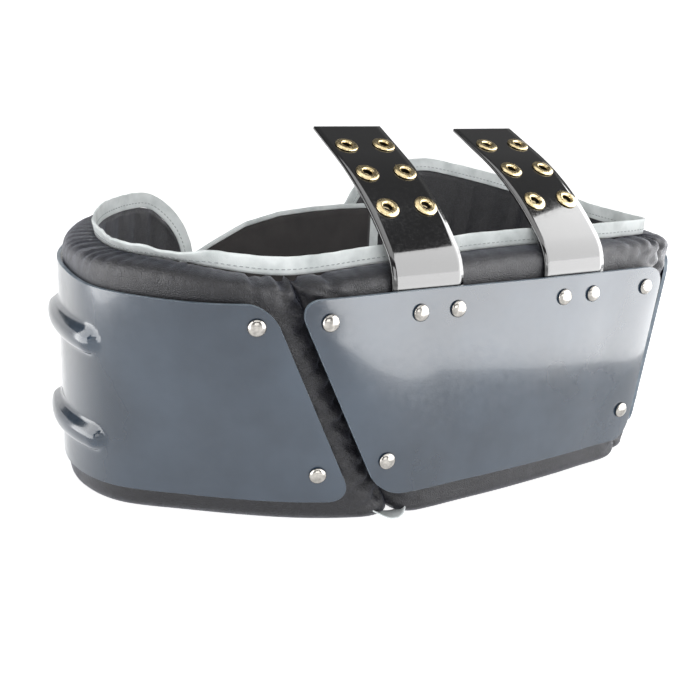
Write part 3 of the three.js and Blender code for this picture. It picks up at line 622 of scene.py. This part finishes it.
# under the near seam the tape has come loose and lies out on the floor
loose = np.exp(-(((foot_distances - left_seam) / LOOSE_REACH) ** 2))
foot_root = skin(foot_station, FOOT_TAPE_LIFT, foot_face + LOOSE_SHIFT * loose)
foot_top = skin(foot_station, FOOT_TAPE_LIFT + TAPE_WIDTH, foot_face)
foot_rise = (foot_top - skin(foot_station, FOOT_TAPE_LIFT, foot_face)) / TAPE_WIDTH
foot_out = outward(foot_station, np.zeros(len(foot_station)))
tip = (loose * math.pi / 2)[:, None]
foot_side = foot_rise * np.sin(tip) - foot_out * np.cos(tip)
foot_rise = foot_rise * np.cos(tip) + foot_out * np.sin(tip)
foot_grid = ruffled(
    foot_root, foot_rise, foot_side, foot_distances,
    tape_section(TAPE_WIDTH, TAPE_THICKNESS), 8.2, 0.4,
)
foot_binding = mesh_piece(
    "foot_binding_tape",
    foot_grid.reshape(-1, 3),
    tube_faces(*foot_grid.shape[:2]),
    tape.material,
)
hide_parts("foot_binding")

# Front flap
# A thin closing piece inside the two front ends, faced with matt dark cloth. A narrow
# tape binds its top edge and a wide one its free upright end.

FLAP_THICKNESS = 4
FLAP_HEIGHT = PANEL_HEIGHT - 18
FLAP_LIFT = 16
FLAP_PLAY = 0.8
FLAP_LEFT_OVERLAP = 48
FLAP_RIGHT_OVERLAP = 14
FLAP_TAPE_WIDTH = 4
FLAP_END_WIDTH = 11
FLAP_HEIGHTS = np.array([0.7, 0.76, 0.86, 0.95, 0.99, 1, 1, 0.99])
FLAP_LENGTH = 190
FLAP_RINGS = 70
FLAP_ROWS = 24
FLAP_LEVELS = 12
FLAP_END_STEPS = 40

lining = Finish("dark_lining", Roughness=0.85, Sheen_Weight=0.2)
lining.shader.inputs["Specular IOR Level"].default_value = 0.2
lining.colour(lining.noise(50, 4), [(0.3, (0.018, 0.016, 0.016)), (0.7, (0.03, 0.026, 0.026))])
lining.bump(lining.noise(1200, 1), 0.3, 0.0003)

overlap_steps = np.linspace(0, 1, 4)
flap_stations = np.concatenate([
    station_at(FLAP_LEFT_OVERLAP * overlap_steps)[::-1],
    1 - station_at(FLAP_RIGHT_OVERLAP * overlap_steps),
])
flap_back = INNER_FACE - FLAP_PLAY - FLAP_THICKNESS
flap_shares = np.linspace(0, 1, FLAP_RINGS)


def flap_line(z):
    """The flap's line at one height, evenly spaced, with its level side directions."""
    points = skin(flap_stations, z, flap_back)
    dense = smooth_line(points, np.linspace(0, 1, 800))
    lengths = np.concatenate([[0], np.cumsum(np.linalg.norm(np.diff(dense, axis=0), axis=1))])
    places = flap_shares * lengths[-1]
    even = np.stack([np.interp(places, lengths, dense[:, k]) for k in range(3)], 1)
    way = np.gradient(even, axis=0)
    way[:, 2] = 0
    way /= np.linalg.norm(way, axis=1)[:, None]
    return even, way, np.stack([-way[:, 1], way[:, 0], np.zeros(FLAP_RINGS)], 1)


height_shares = np.linspace(0, 1, len(FLAP_HEIGHTS))
flap_tops = FLAP_HEIGHT * np.interp(flap_shares, height_shares, FLAP_HEIGHTS)
flap_levels = np.linspace(FLAP_LIFT, FLAP_HEIGHT, FLAP_LEVELS)
flap_lines = [flap_line(z) for z in flap_levels]


def flap_at(heights, part):
    """The flap's points, ways or sides at one height for each of its rings."""
    stack = np.stack([line[part] for line in flap_lines])
    steps = FLAP_LEVELS - 1
    place = np.clip((heights - FLAP_LIFT) / (FLAP_HEIGHT - FLAP_LIFT) * steps, 0, steps - 0.001)
    low = place.astype(int)
    share = (place - low)[:, None]
    rings = np.arange(FLAP_RINGS)
    return stack[low, rings] * (1 - share) + stack[low + 1, rings] * share


flap_rows = []
for share in np.linspace(0, 1, FLAP_ROWS):
    level = FLAP_LIFT + (flap_tops - FLAP_LIFT) * share
    point = flap_at(level, 0)
    flap_side = flap_at(level, 2)
    point[:, 2] = level
    swell = 0.5 * soft_noise(point, 30, 4.4)
    near_face = point + flap_side * (0.2 + swell)[:, None]
    flap_rows.append((near_face, point + flap_side * FLAP_THICKNESS))
flap_grid = np.stack([row[0] for row in flap_rows] + [row[1] for row in flap_rows[::-1]], 1)
flap = mesh_piece(
    "front_flap_cloth",
    flap_grid.reshape(-1, 3),
    tube_faces(FLAP_RINGS, 2 * FLAP_ROWS),
    lining.material,
)
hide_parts("front_flap")

top_root = flap_at(flap_tops, 0)
top_root[:, 2] = flap_tops
top_side = flap_at(flap_tops, 2)
top_root += top_side * (FLAP_THICKNESS - TAPE_THICKNESS) / 2
up_way = np.repeat([[0.0, 0.0, 1.0]], FLAP_RINGS, 0)
end_levels = np.linspace(flap_tops[-1] - FLAP_TAPE_WIDTH, FLAP_LIFT, FLAP_END_STEPS)
end_root = np.stack([flap_line(z)[0][-1] for z in end_levels])
end_way = np.stack([flap_line(z)[1][-1] for z in end_levels])
end_side = np.stack([flap_line(z)[2][-1] for z in end_levels])
end_root += end_side * (FLAP_THICKNESS - TAPE_THICKNESS) / 2
narrow = tape_section(FLAP_TAPE_WIDTH, TAPE_THICKNESS) + [PIECE_GAP, 0]
wide = tape_section(FLAP_END_WIDTH, TAPE_THICKNESS) + [PIECE_GAP, 0]
top_grid = ruffled(top_root, up_way, top_side, flap_shares * FLAP_LENGTH, narrow, 2.2, 0.5)
end_grid = ruffled(end_root, end_way, end_side, end_levels, wide, 6.1, 0.9)
flap_tape_grid = np.concatenate([top_grid, end_grid])
flap_binding = mesh_piece(
    "flap_binding_tape",
    flap_tape_grid.reshape(-1, 3),
    tube_faces(*flap_tape_grid.shape[:2]),
    tape.material,
)
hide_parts("flap_binding")

# Plates
# Moulded sheets of smoked polycarbonate with round corners, one on each padded panel.
# The side plates wrap round the sides and have two half-round ribs with domed ends.

PLATE_THICKNESS = 2.5
PLATE_CORNER = 15
PLATE_CORNER_RINGS = 12
PLATE_SPACING = 2
PLATE_ROWS = 72
PLATE_EDGE_ROUND = 0.9
STRAP_PLATE_FOOT = 21
STRAP_PLATE_TOP = PANEL_HEIGHT - 16
STRAP_PLATE_OVERLAP = 5
STRAP_PLATE_LENGTH = 252
SIDE_PLATE_FOOT = 17
SIDE_PLATE_TOP = PANEL_HEIGHT - 18
SIDE_PLATE_MARGIN = 21
SIDE_PLATE_LENGTH = 262
SIDE_PLATE_STAND_OFF = 1.2
RIB_HEIGHT = 17
RIB_PROUD = 7
RIB_LENGTH = 92
RIB_INSET = 130
RIB_FIRST = PANEL_HEIGHT * 0.286
RIB_SPACING = PANEL_HEIGHT * 0.393
RIB_FILLET_RISE = 0.6
RIB_FILLET_REACH = 0.18
STRAP_THICKNESS = 2
STRAP_PLAY = 1.1
STRAP_PLATE_STAND_OFF = STRAP_THICKNESS + 2 * STRAP_PLAY

smoke = Finish("smoked_plate", Roughness=0.16, Coat_Weight=0.35, Coat_Roughness=0.06)
smoke.shader.inputs["Specular IOR Level"].default_value = 0.62
smoke.colour(smoke.noise(16, 9), [(0.35, (0.01, 0.023, 0.042)), (0.7, (0.03, 0.05, 0.078))])
smoke.rough(smoke.noise(260, 5), 0.3, 0.75, 0.13, 0.24)
smoke.bump(smoke.noise(150, 8, (1, 1, 5)), 0.06, 0.0003)
smoke.bump(smoke.noise(1000, 2), 0.1, 0.0002)
smoke.bump(smoke.noise(7, 2), 0.25, 0.004)

# the plate's edge faces get a paler colour than the sheet: a painted highlight where light would catch
# the edge
edge_highlight = Finish("plate_edge_painted_highlight", Roughness=0.3)
edge_highlight.colour(edge_highlight.noise(120, 3), [(0.3, (0.12, 0.16, 0.2)), (0.7, (0.26, 0.31, 0.36))])


def rib_rise(from_middle, z):
    """How far the two ribs of a side plate stand out at a place."""
    radius = RIB_HEIGHT / 2
    past = np.maximum(0, np.abs(from_middle) - (RIB_LENGTH / 2 - radius))
    rise = np.zeros(np.broadcast(from_middle, z).shape)
    for rib_z in (RIB_FIRST, RIB_FIRST + RIB_SPACING):
        away = np.hypot(past, z - rib_z) / radius
        dome = RIB_PROUD * np.sqrt(np.maximum(0, 1 - away**2))
        fillet = RIB_FILLET_RISE * np.exp(-((np.maximum(away, 1) - 1) / RIB_FILLET_REACH) ** 2)
        rise = np.maximum(rise, np.where(away < 1, np.maximum(dome, fillet), fillet))
    return rise


def smoked_plate(name, start, end, foot, top, stand_off, rivets, rib_middle):
    """A plate as a closed sheet with round corners and a small round along its edge. Its edge faces and
    rounds are coloured paler than the sheet, a painted highlight.
    """
    inset = np.linspace(0, 1, PLATE_CORNER_RINGS) ** 2 * PLATE_CORNER
    middle = np.arange(
        start + PLATE_CORNER + PLATE_SPACING,
        end - PLATE_CORNER - PLATE_SPACING / 2,
        PLATE_SPACING,
    )
    distances = np.concatenate([start + inset, middle, end - inset[::-1]])
    edge = np.minimum(distances - start, end - distances)
    short = np.maximum(0, PLATE_CORNER - edge)
    cut = PLATE_CORNER - np.sqrt(PLATE_CORNER**2 - short**2)
    rows = np.linspace(0, 1, PLATE_ROWS)
    heights = foot + cut[:, None] + (top - foot - 2 * cut[:, None]) * rows
    station = station_at(distances)[:, None] + 0 * rows
    face = (INNER_FACE + foam_thickness(distances) + stand_off)[:, None] + 0 * rows
    if rib_middle is not None:
        face = face + rib_rise(distances[:, None] - rib_middle, heights)
    for distance, z in rivets:
        away = np.hypot(distances[:, None] - distance, heights - z)
        face = face - RIVET_DIMPLE * np.exp(-((away / DIMPLE_REACH) ** 2))
    outer = skin(station, heights, face + PLATE_THICKNESS)
    inner = skin(station, heights, face)
    grid = np.concatenate([outer, inner[:, ::-1]], 1)
    rings, around = grid.shape[:2]
    strips = [
        (i * around + a, i * around + a + 1, i * around + b, i * around + b + 1)
        for i in (0, rings - 1)
        for a, b in ((j, around - 2 - j) for j in range(len(rows) - 1))
    ]
    faces = tube_faces(rings, around, caps=False) + strips
    plate = mesh_piece(name + "_moulding", grid.reshape(-1, 3), faces, smoke.material)
    plate.data.materials.append(edge_highlight.material)
    # the edge faces and strips take the paler colour of the painted highlight
    for number, side in enumerate(plate.data.polygons):
        along_edge = number % around in (len(rows) - 1, around - 1)
        if along_edge or number >= len(faces) - len(strips):
            side.material_index = 1
    bevel = plate.modifiers.new("edge_round", "BEVEL")
    bevel.width = PLATE_EDGE_ROUND * MILLIMETRE
    bevel.segments = 2
    bevel.limit_method = "ANGLE"
    bevel.angle_limit = math.radians(50)
    bevel.harden_normals = True
    # the rounds take the paler painted highlight too
    bevel.material = 1
    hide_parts(name)


strap_plate_start = left_seam - STRAP_PLATE_OVERLAP
left_plate_end = left_seam - SIDE_PLATE_MARGIN
right_plate_start = right_seam + SIDE_PLATE_MARGIN
PLATES = {
    "strap_plate": (strap_plate_start, strap_plate_start + STRAP_PLATE_LENGTH,
                    STRAP_PLATE_FOOT, STRAP_PLATE_TOP, STRAP_PLATE_STAND_OFF),
    "left_side_plate": (left_plate_end - SIDE_PLATE_LENGTH, left_plate_end,
                        SIDE_PLATE_FOOT, SIDE_PLATE_TOP, SIDE_PLATE_STAND_OFF),
    "right_side_plate": (right_plate_start, right_plate_start + SIDE_PLATE_LENGTH,
                         SIDE_PLATE_FOOT, SIDE_PLATE_TOP, SIDE_PLATE_STAND_OFF),
}
RIB_MIDDLES = {
    "strap_plate": None,
    "left_side_plate": left_plate_end - RIB_INSET - RIB_LENGTH / 2,
    "right_side_plate": right_plate_start + RIB_INSET + RIB_LENGTH / 2,
}
RIVET_INSET = 14
CORNER_RIVETS = 4
STRAP_PLATE_RIVET_FOOT = 24
SIDE_PLATE_RIVET_FOOT = 20
STRAP_FIRST = 77
STRAP_SPACING = 98
STRAP_RIVET_SPACING = 23.5
STRAP_RIVET_SHIFT = 1.5
STRAP_RIVET_DROP = 14
RIVET_DIMPLE = 0.4
DIMPLE_REACH = 9
strap_distances = [left_seam + STRAP_FIRST, left_seam + STRAP_FIRST + STRAP_SPACING]


def rivet_spots(plate_name):
    """Where a plate's rivets go, along the belt and up it: its corners, then its straps."""
    start, end, foot, top, _ = PLATES[plate_name]
    over_straps = plate_name == "strap_plate"
    low_rivet = foot + (STRAP_PLATE_RIVET_FOOT if over_straps else SIDE_PLATE_RIVET_FOOT)
    spots = [
        (distance, z)
        for distance in (start + RIVET_INSET, end - RIVET_INSET)
        for z in (low_rivet, top - RIVET_INSET)
    ]
    if over_straps:
        spots += [
            (distance + STRAP_RIVET_SHIFT + turn * STRAP_RIVET_SPACING / 2, top - STRAP_RIVET_DROP)
            for distance in strap_distances
            for turn in (-1, 1)
        ]
    return spots


for plate_name, plate_sizes in PLATES.items():
    smoked_plate(plate_name, *plate_sizes, rivet_spots(plate_name), RIB_MIDDLES[plate_name])

# Rivets
# Nickel plated rivets with domed heads, one near each corner of a plate and a pair
# through the strap plate into each strap.

RIVET_HEAD = 11
RIVET_RISE = 3
RIVET_SHANK = 4
RIVET_SIDES = 32
RIVET_DOME_STEPS = 9

nickel = Finish("nickel", Metallic=1, Roughness=0.22)
nickel.colour(nickel.noise(300, 3), [(0.3, (0.24, 0.23, 0.215)), (0.7, (0.46, 0.44, 0.41))])
nickel.rough(nickel.noise(800, 4), 0.3, 0.7, 0.12, 0.28)
nickel.bump(nickel.noise(900, 3), 0.06, 0.0002)


def face_frame(distance, z, out):
    """A frame on the belt's face: x along it, y up it and z out of it, with its origin."""
    station = float(station_at(distance))
    nudge = 1 / LOOP_STEPS
    along = skin(station + nudge, z, 0) - skin(station - nudge, z, 0)
    up = skin(station, z + 1, 0) - skin(station, z - 1, 0)
    normal = np.cross(along, up)
    normal /= np.linalg.norm(normal)
    level = np.array([-normal[1], normal[0], 0])
    level /= np.linalg.norm(level)
    return level, np.cross(normal, level), normal, skin(station, z, out)


def turned_piece(name, profile, sides, placed, material):
    """A body turned from a profile of radius and height, set into a frame."""
    x_way, y_way, z_way, origin = placed
    angles = np.linspace(0, 2 * math.pi, sides, endpoint=False)
    radius = np.array([p[0] for p in profile])[:, None]
    height = np.array([p[1] for p in profile])[:, None]
    points = (
        origin
        + (radius * np.cos(angles))[..., None] * x_way
        + (radius * np.sin(angles))[..., None] * y_way
        + (height + 0 * angles)[..., None] * z_way
    )
    closes = profile[0] == profile[-1]
    if closes:
        points = points[:-1]
    count = len(points)
    faces = tube_faces(count, sides, caps=not closes)
    if closes:
        faces += [
            ((count - 1) * sides + j, (count - 1) * sides + (j + 1) % sides, (j + 1) % sides, j)
            for j in range(sides)
        ]
    return mesh_piece(name, points.reshape(-1, 3), faces, material)


def rivet_profile(shank):
    turn = np.linspace(0.06, math.pi / 2, RIVET_DOME_STEPS)
    dome = [(RIVET_HEAD / 2 * math.sin(t), PIECE_GAP + RIVET_RISE * math.cos(t)) for t in turn]
    lip = [(RIVET_HEAD / 2 - 0.2, PIECE_GAP), (RIVET_SHANK / 2, PIECE_GAP), (RIVET_SHANK / 2, -shank)]
    return dome + lip


def add_rivet(node, placed, shank):
    rivet = turned_piece(node + "_head", rivet_profile(shank), RIVET_SIDES, placed, nickel.material)
    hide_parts(node)


def plate_face(distance, stand_off):
    return INNER_FACE + float(foam_thickness(distance)) + stand_off + PLATE_THICKNESS


for plate_name, plate_sizes in PLATES.items():
    stand_off = plate_sizes[-1]
    for number, (distance, z) in enumerate(rivet_spots(plate_name)):
        placed = face_frame(distance, z, plate_face(distance, stand_off))
        into_strap = STRAP_PLAY + STRAP_THICKNESS if number >= CORNER_RIVETS else 0
        add_rivet(f"{plate_name}_rivet_{number + 1}", placed, PLATE_THICKNESS + into_strap)

# Straps
# Two flat straps of glossy black plastic. Each is riveted behind the strap plate, comes
# up past its top edge and curves back over the opening.

STRAP_WIDTH = 51
STRAP_TUCK = 26
STRAP_BEND = 25
STRAP_CURVE = 84
STRAP_END = 36
# Columns: length, how far it turns back in degrees
STRAP_STRETCHES = ((STRAP_TUCK, 0), (STRAP_BEND, 45), (STRAP_CURVE, 22), (STRAP_END, 0))
STRAP_LENGTH = sum(stretch[0] for stretch in STRAP_STRETCHES)
GROMMET_BARREL = 9.5
GROMMET_ROW_PITCH = 32
GROMMET_COLUMN_PITCH = 28
GROMMET_SHIFT = 1.5
GROMMET_END_MARGIN = 25
GROMMET_ROWS = 3
STRAP_RING_SPACING = 2.0
STRAP_COLUMNS = 14
HOLE_SIDES = 32

gloss = Finish("gloss_strap", Roughness=0.1, Coat_Weight=0.9, Coat_Roughness=0.05)
gloss.shader.inputs["Specular IOR Level"].default_value = 0.8
gloss.colour(gloss.noise(40, 3), [(0.3, (0.001, 0.001, 0.0015)), (0.7, (0.002, 0.002, 0.003))])
gloss.rough(gloss.noise(500, 4), 0.3, 0.75, 0.06, 0.2)
gloss.bump(gloss.noise(30, 3), 0.2, 0.0014)
gloss.bump(gloss.noise(420, 2), 0.08, 0.0002)


def strap_frame(base, lean, length):
    """The frame on a strap's middle line at a length from its lower end."""
    x_way, y_way, z_way, origin = base
    point = origin - y_way * STRAP_TUCK
    left = length
    for stretch, turn in STRAP_STRETCHES:
        run = min(left, stretch)
        half = math.radians((turn + lean) / 2) * run / stretch if turn > 0 else 0
        chord = run * math.sin(half) / half if half > 0 else run
        mid = y_way * math.cos(half) - z_way * math.sin(half)
        point = point + mid * chord
        y_new = y_way * math.cos(2 * half) - z_way * math.sin(2 * half)
        z_way = z_way * math.cos(2 * half) + y_way * math.sin(2 * half)
        y_way = y_new
        left -= run
    return x_way, y_way, z_way, point


def add_strap(name, base, lean):
    even = np.arange(STRAP_TUCK, STRAP_LENGTH, STRAP_RING_SPACING)
    lengths = np.concatenate([[0, STRAP_TUCK / 2], even, [STRAP_LENGTH]])
    across = np.linspace(-0.5, 0.5, STRAP_COLUMNS) * STRAP_WIDTH
    half = STRAP_THICKNESS / 2
    outline = [(x, half) for x in across] + [(x, -half) for x in across[::-1]]
    rings = []
    for length in lengths:
        x_way, y_way, z_way, point = strap_frame(base, lean, length)
        rings.append([point + x_way * x + z_way * z for x, z in outline])
    grid = np.array(rings)
    faces = tube_faces(*grid.shape[:2])
    strap = mesh_piece(name + "_plastic", grid.reshape(-1, 3), faces, gloss.material)
    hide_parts(name)
    return strap


def drill(strap, frames):
    """Cuts a hole through the strap at each frame."""
    reach = STRAP_THICKNESS * 2
    radius = GROMMET_BARREL / 2 + PIECE_GAP
    hole = [(radius, -reach), (radius, reach)]
    cutters = [
        turned_piece(f"cutter_{number}", hole, HOLE_SIDES, placed, gloss.material)
        for number, placed in enumerate(frames)
    ]
    joined = bmesh.new()
    for cutter in cutters:
        joined.from_mesh(cutter.data)
    mesh = bpy.data.meshes.new("cutters")
    joined.to_mesh(mesh)
    joined.free()
    tool = bpy.data.objects.new("cutters", mesh)
    bpy.context.scene.collection.objects.link(tool)
    cut = strap.modifiers.new("holes", "BOOLEAN")
    cut.operation = "DIFFERENCE"
    cut.object = tool
    cut.solver = "EXACT"
    bpy.context.view_layer.update()
    drilled = strap.evaluated_get(bpy.context.evaluated_depsgraph_get())
    result = bpy.data.meshes.new_from_object(drilled)
    strap.modifiers.clear()
    strap.data = result
    for spare in [*cutters, tool]:
        bpy.data.objects.remove(spare)


# How many degrees more than the shared curve each strap turns at its two bends
STRAP_LEANS = {"strap_left": -1, "strap_right": 1}
grommet_places = {}
for (strap_name, lean), distance in zip(STRAP_LEANS.items(), strap_distances):
    base = face_frame(distance, STRAP_PLATE_TOP, STRAP_PLAY + STRAP_THICKNESS / 2)
    places = []
    for row in range(GROMMET_ROWS):
        for turn in (-1, 1):
            length = STRAP_LENGTH - GROMMET_END_MARGIN - row * GROMMET_ROW_PITCH
            x_way, y_way, z_way, point = strap_frame(base, lean, length)
            shift = GROMMET_SHIFT + turn * GROMMET_COLUMN_PITCH / 2
            places.append((x_way, y_way, z_way, point + x_way * shift))
    grommet_places[strap_name] = places
    drill(add_strap(strap_name, base, lean), places)

# Grommets
# Six brass grommets in each strap, pressed from both sides, to lace the belt to shoulder
# pads.

GROMMET_OUTER = 15.5
GROMMET_BORE = 6.5
GROMMET_FLANGE = 1.3
GROMMET_PLAY = 0.5
GROMMET_SIDES = 40

brass = Finish("brass", Metallic=1, Roughness=0.24)
brass.colour(brass.noise(350, 4), [(0.3, (0.42, 0.33, 0.17)), (0.7, (0.66, 0.55, 0.34))])
brass.rough(brass.noise(700, 4), 0.3, 0.7, 0.16, 0.36)
brass.bump(brass.noise(800, 3), 0.08, 0.0002)

unlit_bore = Finish("bore", Metallic=1, Roughness=0.5)
unlit_bore.colour(unlit_bore.noise(500, 2), [(0.3, (0.012, 0.01, 0.006)), (0.7, (0.03, 0.024, 0.014))])


def grommet_profile():
    """A grommet's outline as pairs of radius and height, closed through its barrel."""
    face = STRAP_THICKNESS / 2 + GROMMET_PLAY
    edge = GROMMET_FLANGE / 2
    half = [
        (GROMMET_BORE / 2, face - 0.2),
        (GROMMET_BORE / 2 + 0.3, face + GROMMET_FLANGE * 0.75),
        (GROMMET_BORE / 2 + 1.1, face + GROMMET_FLANGE),
        (GROMMET_OUTER / 2 - 2.2, face + GROMMET_FLANGE * 0.85),
        (GROMMET_OUTER / 2 - edge, face + GROMMET_FLANGE * 0.6),
        (GROMMET_OUTER / 2, face + 0.25),
        (GROMMET_OUTER / 2, face),
        (GROMMET_BARREL / 2, face),
    ]
    other = [(radius, -z) for radius, z in half[::-1]]
    return half + other + [half[0]]


for strap_name, places in grommet_places.items():
    for number, placed in enumerate(places):
        node = f"{strap_name}_grommet_{number + 1}"
        grommet = turned_piece(
            node + "_ring", grommet_profile(), GROMMET_SIDES, placed, brass.material,
        )
        grommet.data.materials.append(unlit_bore.material)
        # the last ring of faces lines the bore
        for face in grommet.data.polygons[-GROMMET_SIDES:]:
            face.material_index = 1
        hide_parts(node)

# Floor and light
# A white sweep, a floor that turns up into a low wall far off, as in a product studio.
# Soft lights hang above and in front, and two lit cards stand close by for the gloss.

sweep = Finish("white_sweep", Roughness=0.9, Emission_Strength=0.84)
sweep.shader.inputs["Emission Color"].default_value = (1, 1, 1, 1)
sweep.colour(sweep.noise(2, 2), [(0.3, (0.86, 0.86, 0.86)), (0.7, (0.88, 0.88, 0.88))])
# Columns: radius and height in metres
SWEEP_PROFILE = ((0.02, 0), (1.5, 0), (3.2, 0), (3.8, 0.15), (4.1, 0.5), (4.2, 1.1))
SWEEP_SIDES = 96
sweep_turns = [2 * math.pi * side / SWEEP_SIDES for side in range(SWEEP_SIDES)]
sweep_points = [
    (radius * math.cos(turn), radius * math.sin(turn), z)
    for radius, z in SWEEP_PROFILE
    for turn in sweep_turns
]
sweep_faces = tube_faces(len(SWEEP_PROFILE), SWEEP_SIDES, caps=False)
sweep_faces.append(tuple(range(SWEEP_SIDES)))
floor_mesh = bpy.data.meshes.new("studio_floor")
floor_mesh.from_pydata(sweep_points, [], sweep_faces)
floor_mesh.polygons.foreach_set("use_smooth", [True] * len(floor_mesh.polygons))
floor_mesh.materials.append(sweep.material)
floor = bpy.data.objects.new("studio_floor", floor_mesh)
bpy.context.scene.collection.objects.link(floor)


def soft_light(name, place, target, size, power):
    """A rectangular light that the camera doesn't see. Places and sizes are in metres."""
    data = bpy.data.lights.new(name, "AREA")
    data.shape = "RECTANGLE"
    data.size, data.size_y = size
    data.energy = power
    light = bpy.data.objects.new(name, data)
    bpy.context.scene.collection.objects.link(light)
    light.location = place
    light.rotation_mode = "QUATERNION"
    light.rotation_quaternion = (Vector(target) - Vector(place)).to_track_quat("-Z", "Y")
    light.visible_camera = False
    return light


def lit_card(name, place, target, size, brightness):
    """A bright upright card that shows only in glossy surfaces."""
    power = brightness * math.pi * size[0] * size[1]
    card = soft_light(name, place, target, size, power)
    card.visible_diffuse = False


soft_light("top_light", (-0.2, -0.3, 1.6), target=(0, 0, 0.1), size=(1.6, 1.6), power=15)
soft_light("front_light", (-1.0, -1.8, 0.9), target=(0, 0, 0.1), size=(1.4, 0.9), power=12)
lit_card("right_card", (0.43, -0.2, 0.33), target=(-0.184, 0.59, 0.33), size=(1.1, 0.66), brightness=5)
lit_card("left_card", (-0.48, 0.1, 0.25), target=(0, 0.1, 0.25), size=(0.5, 0.5), brightness=4.5)

world = bpy.data.worlds.new("studio")
bpy.context.scene.world = world
world.use_nodes = True
world.node_tree.nodes["Background"].inputs["Color"].default_value = (1, 1, 1, 1)
world.node_tree.nodes["Background"].inputs["Strength"].default_value = 0.17
bpy.context.scene.view_settings.view_transform = "Standard"
